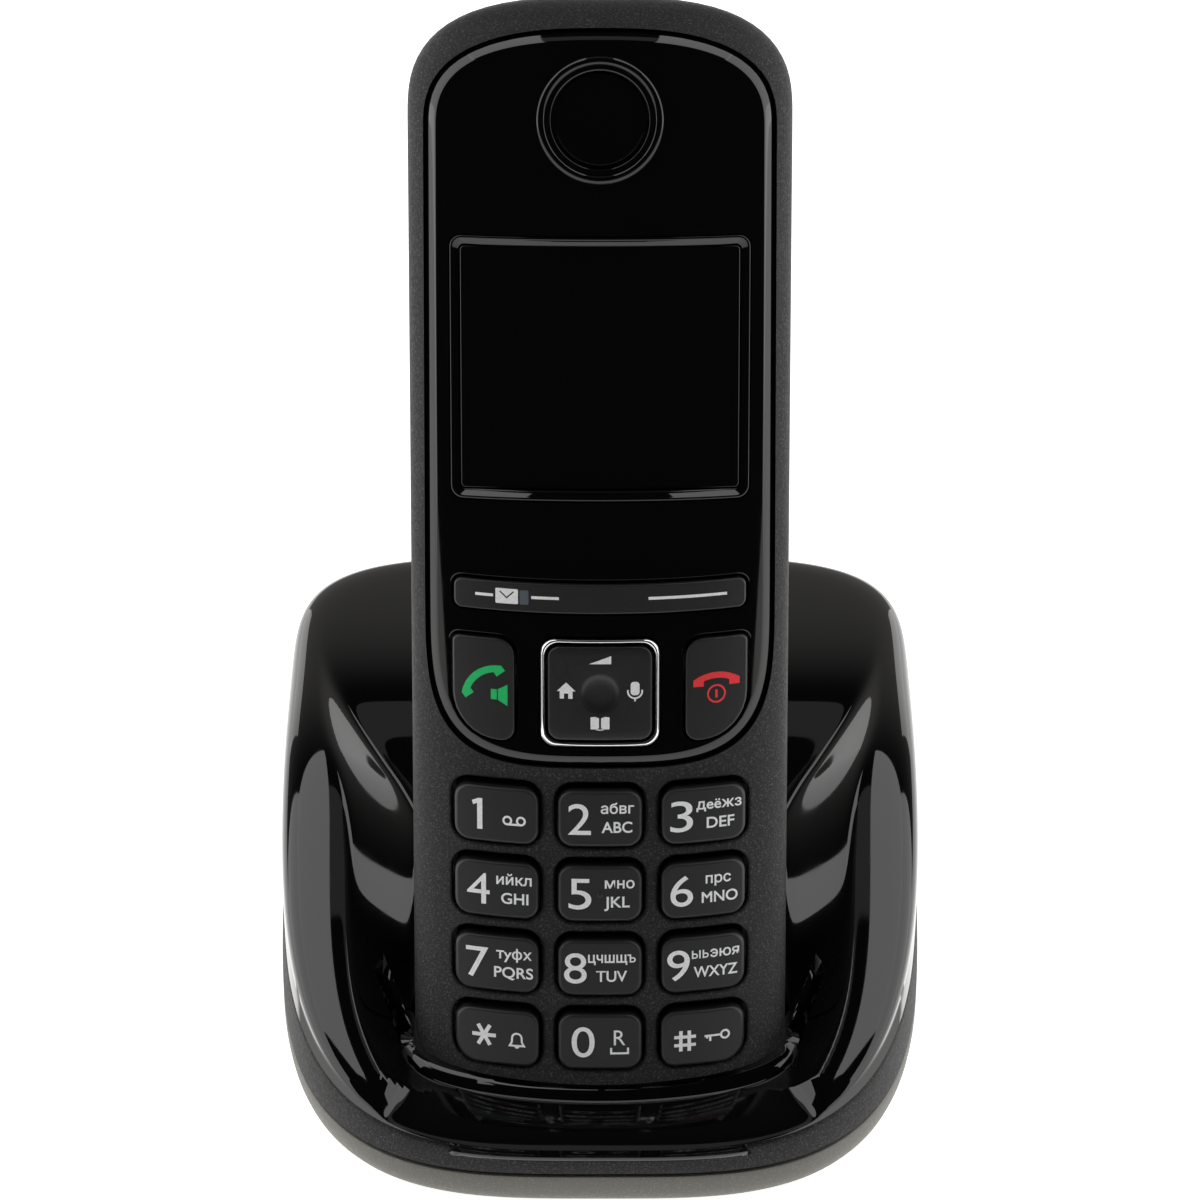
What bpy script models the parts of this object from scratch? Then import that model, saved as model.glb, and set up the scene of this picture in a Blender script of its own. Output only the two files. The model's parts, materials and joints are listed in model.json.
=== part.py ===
"""Cordless phone: a handset that leans back in the well of its charging base.

The world frame has its origin on the table under the middle of the base, with +Z up and the
front of the phone facing -Y. The handset is modelled in a frame of its own: X to the right, Y
along its length towards the earpiece, and Z out of its face, with Z = 0 along the crown of the
face. Sizes in the code are millimetres, and `MM` turns them into metres.
"""

import math

import bmesh
import bpy
from mathutils import Matrix, Vector

MM = 0.001
GAP = 0.3                      # clearance between neighbouring solids

# Handset
HANDSET_LEAN = math.radians(20)
HANDSET_ORIGIN = (0.0, -21.9, 75.2)
HANDSET_HALF_WIDTH = 24.5
FACE_DEPTH = 9.0               # from the widest line forward to the crown of the face
BACK_DEPTH = 16.0              # from the widest line back to the crown of the back
BACK_POWER = 3.0
FOOT_BACK_SHARE = 0.72         # the back is this much shallower at the foot
FOOT_TAPER_START = -44.0
FOOT_T = -70.0
TOP_T = 75.9
FOOT_CORNER = (6.0, 2.4)       # length and power of the rounding across the width
TOP_CORNER = (15.0, 2.8)
FOOT_EDGE = (6.0, 2.0)         # length and power of the rounding through the thickness
TOP_EDGE = (9.0, 2.2)
HALF_SPLIT_Z = -11.0
WALL_SIDE, WALL_FRONT, WALL_BACK, WALL_END = 2.0, 2.7, 1.8, 2.0
PANEL_THICKNESS = 1.2
KEY_UNDERSIDE_Z = -6.2
SMILE = 0.0013                 # rows of keys curve up towards the sides by SMILE * x^2
LIFT_SWEEP_T = 60.0

# Key sizes: centre x, centre y, width, height, corner radii from top left clockwise
NUMBER_KEY_SIZE = (10.9, 7.4)
NUMBER_KEY_RADIUS = 1.9
NUMBER_KEY_RISE = 1.3
NUMBER_KEY_PITCH = (13.4, 9.97)
NUMBER_KEY_FIRST_T = -28.7
NUMBER_KEY_GAP = 0.4
NUMBER_KEY_HEADROOM = 0.4      # the holes reach this much further above their keys
PANEL_KEY_RISE = 0.8
PANEL_KEY_GAP = 0.35
OUTER_FOOT_RADIUS = 2.9
BAR_CENTRE, BAR_SIZE, BAR_RADIUS = (0.0, 0.1), (37.5, 3.8), 1.0
NAV_CENTRE, NAV_SIZE, NAV_RADIUS = (0.0, -12.25), (13.4, 12.25), 1.5
NAV_RING_SIZE, NAV_RING_RADIUS = (15.3, 14.15), 2.0
CALL_KEY_X, CALL_KEY_T, CALL_KEY_SIZE = 15.0, -11.9, (8.0, 13.4)
KEYPAD_NAMES = (("key_1", "key_2", "key_3"), ("key_4", "key_5", "key_6"),
                ("key_7", "key_8", "key_9"), ("key_star", "key_0", "key_hash"))

# The gloss panel: half width, height, power and the line its rounded end starts from
PANEL_HEAD = (22.1, 12.6, 2.6, 59.7)
PANEL_FOOT = (22.3, 22.0, 3.75, 0.0)

# Display, earpiece and the parts behind the face
WINDOW_CENTRE = (0.0, 29.6)
BEZEL_SIZE, BEZEL_RADIUS = (38.2, 33.75), 1.5
LENS_GAP_SIZE, LENS_GAP_RADIUS = (35.6, 31.1), 0.6
LENS_HALF_X, LENS_HALF_T, LENS_Z, LENS_SAG = 17.8, 15.55, -1.2, 1.9
LCD_HALF_X, LCD_HALF_T, LCD_Z = 17.0, 15.0, (-7.6, -4.7)
EARPIECE_CENTRE, DISC_RADIUS, DISC_HOLE_RADIUS, SOUND_HOLE_RADIUS = (0.0, 61.2), 5.8, 6.2, 4.5
MAT_SIZE, MAT_CENTRE, MAT_Z = (39.0, 60.6), (0.0, -32.7), (-8.3, -7.2)
BOARD_SIZE, BOARD_CENTRE, BOARD_Z = (41.0, 128.0), (0.0, 2.0), (-9.9, -8.7)
RINGER_T = 46.0
MICROPHONE_AT = (0.0, -65.6, -10.2)

# Battery bay
DOOR_SIZE, DOOR_CENTRE, DOOR_RADIUS = (30.0, 55.0), (0.0, -7.5), 3.0
DOOR_HOLE_SIZE, DOOR_HOLE_CENTRE = (30.6, 59.4), (0.0, -5.6)
DOOR_THICKNESS = 1.6
TRAY_HALF_X, TRAY_T, TRAY_Z = 16.6, (-36.6, 25.4), (-24.5, -10.3)
CELL_BAY_HALF_X, CELL_BAY_T, CELL_BAY_Z = 11.4, (-31.0, 19.0), (-30.0, -11.5)
CELL_X, CELL_MIDDLE = 5.6, (-6.0, -17.0)
CELL_RADIUS, CELL_LOW, CELL_HIGH, CELL_CAP_RADIUS = 5.2, -22.3, 22.2, 1.9
PAD_X, PAD_HALF_X, PAD_T = 8.5, 2.0, (-62.0, -56.0)

# Base
BASE_HALF_WIDTH = 44.5
BASE_HALF_DEPTH = 53.5
WIDEST_Y = 23.7                # the plan is widest behind the middle
FRONT_POWER, REAR_POWER = 3.5, 4.2
COVER_INSET = 0.5
COVER_WALL = 1.8
SEAM_Z = 6.7
PARTING_FRONT_Z, PARTING_REAR_Z = 10.3, 24.0
HUMP_Z = 39.4
RAMP_START_Z, RAMP_SLOPE, RAMP_BLEND = 11.0, 0.467, 5.5
SHOULDER_POWER = 10.0
BASE_UNDERSIDE_Z = 1.0
BASE_FLOOR_Z = 2.5
BASE_WALL = 3.0
WELL_CLEARANCE = 0.5
WELL_WALL = 1.5
WELL_MOUTH_HALF_X, WELL_MOUTH_Z = 25.2, 13.0
PLATE_Y, PLATE_SLOPE, PLATE_FLARE = -43.0, 0.24, 0.64   # the plate between the mouth and the front
FLOOR_LENGTH, FLOOR_RISE = 48.0, 13.8   # the recess climbs along the sides of the handset
SIDE_SLOPE = 0.75
RAMP_BACK_Y, RAMP_BACK_Z, RAMP_BACK_SLOPE, RAMP_BACK_BLEND = -14.5, 18.5, 0.6, 5.0
CREASE = 0.5                   # width over which the recess and the arms run into each other
SCREW_X, SCREW_Y = 30.5, 35.4
FOOT_X, FOOT_Y = 22.0, 39.0
PAGING_Y = 1.4
SOCKET_X = 14.0
SOCKET_FRONT_Y, SOCKET_REAR_Y = 39.6, 48.7
SOCKET_FLOOR_Z = 5.8
LINE_HALF_X, LINE_TOP_Z = 6.4, 16.4
LINE_OPENING_HALF_X, LINE_OPENING_Z = 4.9, (7.6, 14.4)
POWER_HALF_X, POWER_TOP_Z, POWER_AXIS_Z = 5.2, 16.2, 11.0
POWER_WINDOW_RADIUS, POWER_BORE_RADIUS, POWER_BORE_DEPTH = 3.6, 3.1, 18.8
BOSS_RADIUS, BOSS_LOW_Z, BOSS_FRONT_TOP_Z, BOSS_REAR_TOP_Z = 3.0, 4.3, 15.5, 37.6
SCREW_BORE_RADIUS, SEAT_RADIUS, SINK_RADIUS = 1.5, 4.2, 2.9
FOOT_RECESS_RADIUS = 4.8
BASE_BOARD_SIZE, BASE_BOARD_CENTRE, BASE_BOARD_Z = (54.0, 46.0), (0.0, 15.0), (4.0, 5.2)

PLAN_POINTS = 40
FACE_POINTS, BACK_POINTS = 16, 12
END_SHARES = (0.995, 0.93, 0.8, 0.6, 0.35, 0.0)


def clear_scene():
    for thing in list(bpy.data.objects):
        bpy.data.objects.remove(thing, do_unlink=True)


def make_collection(name):
    collection = bpy.data.collections.new(name)
    bpy.context.scene.collection.children.link(collection)
    return collection


def make_material(name, color, roughness, metallic=0.0):
    material = bpy.data.materials.new(name)
    material.use_nodes = True
    shader = material.node_tree.nodes["Principled BSDF"]
    shader.inputs["Base Color"].default_value = (*color, 1.0)
    shader.inputs["Roughness"].default_value = roughness
    shader.inputs["Metallic"].default_value = metallic
    return material


def make_frame(name, location_mm, tilt):
    """An empty whose X stays level while it is tilted about X."""
    frame = bpy.data.objects.new(name, None)
    parts.objects.link(frame)
    frame.location = Vector(location_mm) * MM
    frame.rotation_euler = (tilt, 0.0, 0.0)
    return frame


# ---------------------------------------------------------------- mesh builders

def finish_mesh(name, shape):
    bmesh.ops.recalc_face_normals(shape, faces=shape.faces)
    bmesh.ops.scale(shape, vec=(MM, MM, MM), verts=shape.verts)
    mesh = bpy.data.meshes.new(name)
    shape.to_mesh(mesh)
    shape.free()
    mesh.shade_smooth()
    mesh.set_sharp_from_angle(angle=math.radians(35))
    return mesh


def loft_mesh(name, rings, closed=False):
    """Skin a row of equal rings. A closed loft joins its last ring to its first."""
    shape = bmesh.new()
    rows = [[shape.verts.new(point) for point in ring] for ring in rings]
    pairs = list(zip(rows, rows[1:]))
    if closed:
        pairs.append((rows[-1], rows[0]))
    count = len(rows[0])
    for lower, upper in pairs:
        for i in range(count):
            j = (i + 1) % count
            shape.faces.new((lower[i], lower[j], upper[j], upper[i]))
    if not closed:
        shape.faces.new(rows[0])
        shape.faces.new(rows[-1])
    return finish_mesh(name, shape)


def prism_mesh(name, outline, low_z, high_z):
    shape = bmesh.new()
    face = shape.faces.new([shape.verts.new((x, y, low_z)) for x, y in outline])
    extruded = bmesh.ops.extrude_face_region(shape, geom=[face])
    top = [v for v in extruded["geom"] if isinstance(v, bmesh.types.BMVert)]
    bmesh.ops.translate(shape, vec=(0, 0, high_z - low_z), verts=top)
    return finish_mesh(name, shape)


def box_mesh(name, low, high):
    shape = bmesh.new()
    size = [b - a for a, b in zip(low, high)]
    middle = [(a + b) / 2 for a, b in zip(low, high)]
    bmesh.ops.create_cube(shape, size=1.0,
                          matrix=Matrix.Translation(middle) @ Matrix.Diagonal((*size, 1.0)))
    return finish_mesh(name, shape)


def cylinder_mesh(name, radius, low_z, high_z, centre=(0, 0), sides=24):
    shape = bmesh.new()
    bmesh.ops.create_cone(shape, cap_ends=True, segments=sides, radius1=radius, radius2=radius,
                          depth=high_z - low_z,
                          matrix=Matrix.Translation((*centre, (low_z + high_z) / 2)))
    return finish_mesh(name, shape)


def height_mesh(name, xs, ys, height, top_z):
    """A block whose underside follows `height(x, y)` and whose top is flat."""
    shape = bmesh.new()
    grid = [[shape.verts.new((x, y, height(x, y))) for x in xs] for y in ys]
    for front, rear in zip(grid, grid[1:]):
        for i in range(len(xs) - 1):
            shape.faces.new((front[i], front[i + 1], rear[i + 1], rear[i]))
    extruded = bmesh.ops.extrude_face_region(shape, geom=list(shape.faces))
    for item in extruded["geom"]:
        if isinstance(item, bmesh.types.BMVert):
            item.co.z = top_z
    return finish_mesh(name, shape)


# ---------------------------------------------------------------- objects

def place(mesh, material, frame=None, location_mm=(0, 0, 0), collection=None):
    """A named part from a mesh; its name is the mesh's name."""
    thing = bpy.data.objects.new(mesh.name, mesh)
    (collection or parts).objects.link(thing)
    thing.location = Vector(location_mm) * MM
    thing.parent = frame
    if material:
        mesh.materials.append(material)
    return thing


def guide(mesh, frame=None, location_mm=(0, 0, 0)):
    """A cutter or an envelope, which is not a part."""
    thing = place(mesh, None, frame, location_mm, cutters)
    thing.hide_render = True
    thing.display_type = "WIRE"
    return thing


def combine(thing, operation, *tools):
    for tool in tools:
        modifier = thing.modifiers.new(f"{operation.lower()}_{tool.name}", "BOOLEAN")
        modifier.operation = operation
        modifier.object = tool


def turned(name, profile, material, frame=None, location_mm=(0, 0, 0), steps=16, tilt=(0, 0, 0)):
    """A turned piece. The profile is (radius, z) points from the top of its axis to the bottom."""
    mesh = bpy.data.meshes.new(name)
    points = [(radius * MM, 0.0, z * MM) for radius, z in profile]
    mesh.from_pydata(points, [(i, i + 1) for i in range(len(points) - 1)], [])
    thing = place(mesh, material, frame, location_mm)
    thing.rotation_euler = tilt
    screw = thing.modifiers.new("turn", "SCREW")
    screw.steps = steps
    screw.render_steps = steps
    screw.use_merge_vertices = True
    screw.merge_threshold = 0.00001
    screw.use_smooth_shade = True
    return thing


# ---------------------------------------------------------------- outlines

def rounded_outline(width, height, radii, centre=(0.0, 0.0), grow=0.0, steps=3):
    """A rectangle with its own radius at each corner, from top left clockwise."""
    half_x = width / 2 + grow
    half_y = height / 2 + grow
    corners = ((-1, 1, 180), (1, 1, 90), (1, -1, 0), (-1, -1, -90))
    outline = []
    for (side, end, start), radius in zip(corners, radii):
        r = radius + grow
        for step in range(steps + 1):
            angle = math.radians(start - 90 * step / steps)
            x = side * (half_x - r) + r * math.cos(angle)
            y = end * (half_y - r) + r * math.sin(angle)
            outline.append((centre[0] + x, centre[1] + y))
    return outline


def circle_outline(radius, centre=(0.0, 0.0), count=24):
    return [(centre[0] + radius * math.cos(2 * math.pi * i / count),
             centre[1] + radius * math.sin(2 * math.pi * i / count)) for i in range(count)]


def power_point(half_x, half_y, power, angle):
    """A point on a superellipse."""
    c, s = math.cos(angle), math.sin(angle)
    return (math.copysign(abs(c) ** (2 / power), c) * half_x,
            math.copysign(abs(s) ** (2 / power), s) * half_y)


def panel_outline(grow=0.0):
    """The gloss panel: straight sides, a rounded head and a squarish U at its foot."""
    points = []
    steps = 12
    for (half_x, height, power, start_t), turn in ((PANEL_HEAD, 0.0), (PANEL_FOOT, math.pi)):
        for i in range(steps + 1):
            x, y = power_point(half_x + grow, height + grow, power, turn + math.pi * i / steps)
            points.append((x, start_t + y))
    return points


# ---------------------------------------------------------------- the handset's form

def end_scale(t, rounding, foot_or_top_t, direction, inset):
    """How much a section has shrunk at `t`, near an end rounded by a superellipse."""
    length, power = rounding
    start = foot_or_top_t - direction * length
    along = direction * (t - start)
    if along <= 0:
        return 1.0
    share = min(along / (length - inset), 1.0)
    return max(1.0 - share ** power, 0.0) ** (1 / power)


def foot_taper(t):
    """Share of the back's depth that is left at `t`, easing down towards the foot."""
    share = min(max((FOOT_TAPER_START - t) / (FOOT_TAPER_START - FOOT_T), 0.0), 1.0)
    eased = share * share * (3 - 2 * share)
    return 1 - (1 - FOOT_BACK_SHARE) * eased


def handset_section(t, side, front, back, end, round_top):
    """The ring of the handset's form at `t`, inset by the four wall thicknesses."""
    scale_x = end_scale(t, FOOT_CORNER, FOOT_T, -1, end)
    scale_z = end_scale(t, FOOT_EDGE, FOOT_T, -1, end)
    if round_top:
        scale_x *= end_scale(t, TOP_CORNER, TOP_T, 1, end)
        scale_z *= end_scale(t, TOP_EDGE, TOP_T, 1, end)
    half_x = (HANDSET_HALF_WIDTH - side) * scale_x
    face = (FACE_DEPTH - front) * scale_z
    rear = (BACK_DEPTH * foot_taper(t) - back) * scale_z
    ring = []
    for i in range(FACE_POINTS):
        x, z = power_point(half_x, face, 2.0, math.pi * i / FACE_POINTS)
        ring.append((x, t, z - FACE_DEPTH))
    for i in range(BACK_POINTS):
        x, z = power_point(half_x, rear, BACK_POWER, math.pi + math.pi * i / BACK_POINTS)
        ring.append((x, t, z - FACE_DEPTH))
    return ring


def handset_form(name, side=0.0, front=0.0, back=0.0, end=0.0, swept_to=None):
    """The handset's outer form, inset by wall thicknesses (a negative inset swells it).

    With `swept_to` the head is left off and the form runs on at full section to that length,
    which is the space that the foot passes through on its way out of the base.
    """
    foot_length = FOOT_CORNER[0] - end
    foot_start = FOOT_T + FOOT_CORNER[0]
    stations = [foot_start - foot_length * share for share in END_SHARES]
    stations += [-56.0, -52.0, -48.0, FOOT_TAPER_START]
    if swept_to is None:
        top_length = TOP_CORNER[0] - end
        top_start = TOP_T - TOP_CORNER[0]
        stations += [0.0]
        stations += [top_start + top_length * share for share in reversed(END_SHARES)]
    else:
        stations += [swept_to]
    rings = [handset_section(t, side, front, back, end, swept_to is None) for t in stations]
    return loft_mesh(name, rings)


# ---------------------------------------------------------------- the base's form

def plan_point(angle, inset, share=1.0):
    """A point of the base's plan: an oval, widest behind the middle and squarer at the rear."""
    ahead = math.sin(angle) < 0
    power = FRONT_POWER if ahead else REAR_POWER
    reach = (WIDEST_Y + BASE_HALF_DEPTH if ahead else BASE_HALF_DEPTH - WIDEST_Y) - inset
    x, y = power_point((BASE_HALF_WIDTH - inset) * share, reach * share, power, angle)
    return x, WIDEST_Y + y


def parting_z(y):
    """The tilted plane on which the gloss cover meets the ring."""
    share = (y + BASE_HALF_DEPTH) / (2 * BASE_HALF_DEPTH)
    return PARTING_FRONT_Z + (PARTING_REAR_Z - PARTING_FRONT_Z) * share


def smooth_min(a, b, blend):
    return (a + b - math.sqrt((a - b) ** 2 + blend * blend)) / 2


def smooth_max(a, b, blend):
    return -smooth_min(-a, -b, blend)


def crown_z(y):
    """Height of the cover along its middle, without the well: a ramp up to the hump."""
    ramp = RAMP_START_Z + RAMP_SLOPE * (y + BASE_HALF_DEPTH)
    return smooth_min(ramp, HUMP_Z, RAMP_BLEND)


def dome_point(angle, share, inset):
    x, y = plan_point(angle, COVER_INSET + inset, share)
    shoulder = (1 - share ** SHOULDER_POWER) ** (1 / SHOULDER_POWER)
    base = parting_z(y)
    return x, y, base + (crown_z(y) - inset - base) * shoulder


def dome_mesh(name, inset=0.0, skirt_z=None):
    """The cover's outer form. A skirt takes its edge straight down to a lower level."""
    shares = (1.0, 0.99, 0.965, 0.92, 0.84, 0.66, 0.4, 0.14)
    angles = [2 * math.pi * i / PLAN_POINTS for i in range(PLAN_POINTS)]
    rings = [[dome_point(angle, share, inset) for angle in angles] for share in shares]
    if skirt_z is not None:
        rings.insert(0, [(x, y, skirt_z) for x, y, z in rings[0]])
    return loft_mesh(name, rings)


def recess_z(x, y):
    """The recess: facets that climb beside the handset, and a ramp behind it up to the hump."""
    ahead = max(PLATE_Y - y, 0.0)
    share = min(max((y - PLATE_Y) / FLOOR_LENGTH, 0.0), 1.0)
    floor = WELL_MOUTH_Z - PLATE_SLOPE * ahead + FLOOR_RISE * share * share * (3 - 2 * share)
    side = floor + SIDE_SLOPE * max(abs(x) - WELL_MOUTH_HALF_X - PLATE_FLARE * ahead, 0.0)
    ramp = smooth_min(crown_z(y), RAMP_BACK_Z + RAMP_BACK_SLOPE * (y - RAMP_BACK_Y), RAMP_BACK_BLEND)
    return smooth_max(side, ramp, CREASE)


def recess_mesh(name, lower_by=0.0):
    half = (0.0, 9.0, 18.0, 24.0, 25.2, 27.5, 30.0, 33.0, 36.0, 40.0, 47.0)
    xs = [-x for x in reversed(half[1:])] + list(half)
    ys = (-56.0, -50.0, -43.0, -38.0, -32.0, -26.0, -23.0, -21.5, -18.0, -14.5, -9.0, -1.0, 8.0,
          14.0, 20.0, 28.0, 38.0, 58.0)
    return height_mesh(name, xs, ys, lambda x, y: recess_z(x, y) - lower_by, 64.0)


def base_ring(z, inset):
    """A level ring, or one that follows a function of y."""
    angles = [2 * math.pi * i / PLAN_POINTS for i in range(PLAN_POINTS)]
    points = [plan_point(angle, inset) for angle in angles]
    return [(x, y, z(y) if callable(z) else z) for x, y in points]


# ---------------------------------------------------------------- handset parts

def key_table():
    """Every key's name, centre, size, corner radii and rise above the face."""
    table = {}
    width, height = NUMBER_KEY_SIZE
    for row, names in enumerate(KEYPAD_NAMES):
        for column, name in enumerate(names):
            x = (column - 1) * NUMBER_KEY_PITCH[0]
            t = NUMBER_KEY_FIRST_T - row * NUMBER_KEY_PITCH[1]
            radii = [NUMBER_KEY_RADIUS] * 4
            if name == "key_hash":
                radii[2] = OUTER_FOOT_RADIUS
            if name == "key_star":
                radii[3] = OUTER_FOOT_RADIUS
            table[name] = ((x, t + SMILE * x * x), (width, height), radii, NUMBER_KEY_RISE)
    for name, x, radii in (("talk_key", -CALL_KEY_X, (0.9, 2.3, 1.7, 6.0)),
                           ("end_key", CALL_KEY_X, (2.3, 0.9, 6.0, 1.7))):
        table[name] = ((x, CALL_KEY_T), CALL_KEY_SIZE, radii, PANEL_KEY_RISE)
    table["softkey_bar"] = (BAR_CENTRE, BAR_SIZE, (BAR_RADIUS,) * 4, PANEL_KEY_RISE)
    table["nav_key"] = (NAV_CENTRE, NAV_SIZE, (NAV_RADIUS,) * 4, PANEL_KEY_RISE)
    return table


def key_outline(centre, size, radii, grow=0.0):
    """The key's outline about its own centre, with the row's upward curve."""
    outline = rounded_outline(*size, radii, centre, grow)
    x0, t0 = centre
    return [(x - x0, t - t0 + SMILE * (x * x - x0 * x0)) for x, t in outline]


def build_keys(frame, envelopes):
    """The keys, and the cutters for their holes, by name."""
    holes = {}
    for name, (centre, size, radii, rise) in key_table().items():
        is_number = rise == NUMBER_KEY_RISE
        gap = NUMBER_KEY_GAP if is_number else PANEL_KEY_GAP
        low = -2.2 if name == "nav_key" else KEY_UNDERSIDE_Z
        mesh = prism_mesh(name, key_outline(centre, size, radii), low, 4.0)
        key = place(mesh, number_plastic if is_number else panel_key_plastic, frame, (*centre, 0.0))
        combine(key, "INTERSECT", envelopes[rise])
        headroom = NUMBER_KEY_HEADROOM if is_number else 0.0
        hole_centre = (centre[0], centre[1] + headroom / 2)
        hole_line = key_outline(hole_centre, (size[0], size[1] + headroom), radii, gap)
        mesh = prism_mesh(f"{name}_hole", hole_line, -8.0, 6.0)
        holes[name] = guide(mesh, frame, (*hole_centre, 0.0))
    return holes


def build_handset(frame):
    form = guide(handset_form("form"), frame)
    under_panel = guide(handset_form("under_panel", *[PANEL_THICKNESS] * 4), frame)
    panel_seat = guide(handset_form("panel_seat", *[PANEL_THICKNESS + GAP] * 4), frame)
    hollow = guide(handset_form("hollow", WALL_SIDE, WALL_FRONT, WALL_BACK, WALL_END), frame)
    envelopes = {rise: guide(handset_form(f"envelope_{rise}", *[-rise] * 4), frame)
                 for rise in (NUMBER_KEY_RISE, PANEL_KEY_RISE)}
    ring_envelope = guide(handset_form("ring_envelope", *[-0.5] * 4), frame)
    holes = build_keys(frame, envelopes)
    panel_holes = [holes[name] for name in ("talk_key", "end_key", "softkey_bar")]

    bezel_line = rounded_outline(*BEZEL_SIZE, (BEZEL_RADIUS,) * 4, WINDOW_CENTRE)
    bezel_hole_line = rounded_outline(*BEZEL_SIZE, (BEZEL_RADIUS,) * 4, WINDOW_CENTRE, GAP)
    lens_gap_line = rounded_outline(*LENS_GAP_SIZE, (LENS_GAP_RADIUS,) * 4, WINDOW_CENTRE, GAP)
    nav_line = rounded_outline(*NAV_RING_SIZE, (NAV_RING_RADIUS,) * 4, NAV_CENTRE)
    nav_seat_line = rounded_outline(*NAV_RING_SIZE, (NAV_RING_RADIUS,) * 4, NAV_CENTRE, GAP)
    disc_hole_line = circle_outline(DISC_HOLE_RADIUS, EARPIECE_CENTRE)
    sound_hole_line = circle_outline(SOUND_HOLE_RADIUS, EARPIECE_CENTRE)
    bezel_hole = guide(prism_mesh("bezel_hole", bezel_hole_line, -8, 6), frame)
    lens_gap = guide(prism_mesh("lens_gap", lens_gap_line, -9, 6), frame)
    nav_seat = guide(prism_mesh("nav_seat", nav_seat_line, -8, 6), frame)
    disc_hole = guide(prism_mesh("disc_hole", disc_hole_line, -8, 6), frame)
    sound_hole = guide(prism_mesh("sound_hole", sound_hole_line, -9, 6), frame)

    panel = place(prism_mesh("handset_gloss_panel", panel_outline(), -8, 5), gloss_black, frame)
    combine(panel, "INTERSECT", form)
    combine(panel, "DIFFERENCE", under_panel, bezel_hole, nav_seat, disc_hole, *panel_holes)

    recess = guide(prism_mesh("panel_recess", panel_outline(GAP), -9, 6), frame)
    combine(recess, "DIFFERENCE", panel_seat)
    front_half = guide(box_mesh("front_half", (-30, -80, HALF_SPLIT_Z), (30, 90, 10)), frame)
    shell = place(handset_form("handset_front_frame"), matte_black, frame)
    combine(shell, "INTERSECT", front_half)
    combine(shell, "DIFFERENCE", hollow, recess, lens_gap, sound_hole, *holes.values())

    bezel = place(prism_mesh("display_bezel", bezel_line, -8, 5), gloss_black, frame)
    combine(bezel, "INTERSECT", form)
    combine(bezel, "DIFFERENCE", under_panel, lens_gap)

    build_display_window(frame)
    window_t = WINDOW_CENTRE[1]
    lcd_low = (-LCD_HALF_X, window_t - LCD_HALF_T, LCD_Z[0])
    lcd_high = (LCD_HALF_X, window_t + LCD_HALF_T, LCD_Z[1])
    place(box_mesh("lcd_module", lcd_low, lcd_high), display_glass, frame)

    ring = place(prism_mesh("nav_ring", nav_line, -8, 5), chrome, frame)
    combine(ring, "INTERSECT", ring_envelope)
    combine(ring, "DIFFERENCE", under_panel, holes["nav_key"])
    pivot = box_mesh("nav_pivot", (-2.0, -2.0, -6.2), (2.0, 2.0, -2.6))
    place(pivot, inner_plastic, frame, (*NAV_CENTRE, 0.0))

    disc_line = circle_outline(DISC_RADIUS, EARPIECE_CENTRE)
    place(prism_mesh("earpiece_disc", disc_line, -1.4, -0.5), gloss_black, frame)
    turned("earpiece_speaker", ((0, -3.4), (6.2, -3.4), (6.6, -3.8), (6.6, -6.4), (0, -6.4)),
           inner_metal, frame, (*EARPIECE_CENTRE, 0.0))

    mat = rounded_outline(*MAT_SIZE, (3.0,) * 4, MAT_CENTRE)
    place(prism_mesh("keypad_mat", mat, *MAT_Z), mat_rubber, frame)
    board = rounded_outline(*BOARD_SIZE, (4.0,) * 4, BOARD_CENTRE)
    place(prism_mesh("main_board", board, *BOARD_Z), circuit_green, frame)
    turned("ringer_speaker", ((0, -16.6), (9.6, -16.6), (10.0, -17.0), (10.0, -21.4), (0, -21.4)),
           inner_metal, frame, (0.0, RINGER_T, 0.0))
    turned("microphone", ((0, 1.0), (2.0, 1.0), (2.0, -0.8), (0, -0.8)), inner_metal, frame,
           MICROPHONE_AT, tilt=(math.radians(90), 0, 0))
    build_back(frame, form, hollow)


def build_display_window(frame):
    """The lens: a plate that is crowned across its width, less than the face around it."""
    shape = bmesh.new()
    columns = 13
    xs = [LENS_HALF_X * (2 * i / (columns - 1) - 1) for i in range(columns)]
    rows = []
    for t in (WINDOW_CENTRE[1] - LENS_HALF_T, WINDOW_CENTRE[1] + LENS_HALF_T):
        rows.append([shape.verts.new((x, t, LENS_Z - LENS_SAG * (x / LENS_HALF_X) ** 2)) for x in xs])
    for i in range(columns - 1):
        shape.faces.new((rows[0][i], rows[0][i + 1], rows[1][i + 1], rows[1][i]))
    lens = place(finish_mesh("display_window", shape), display_glass, frame)
    solid = lens.modifiers.new("thickness", "SOLIDIFY")
    solid.thickness = 1.0 * MM
    solid.offset = -1.0


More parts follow.
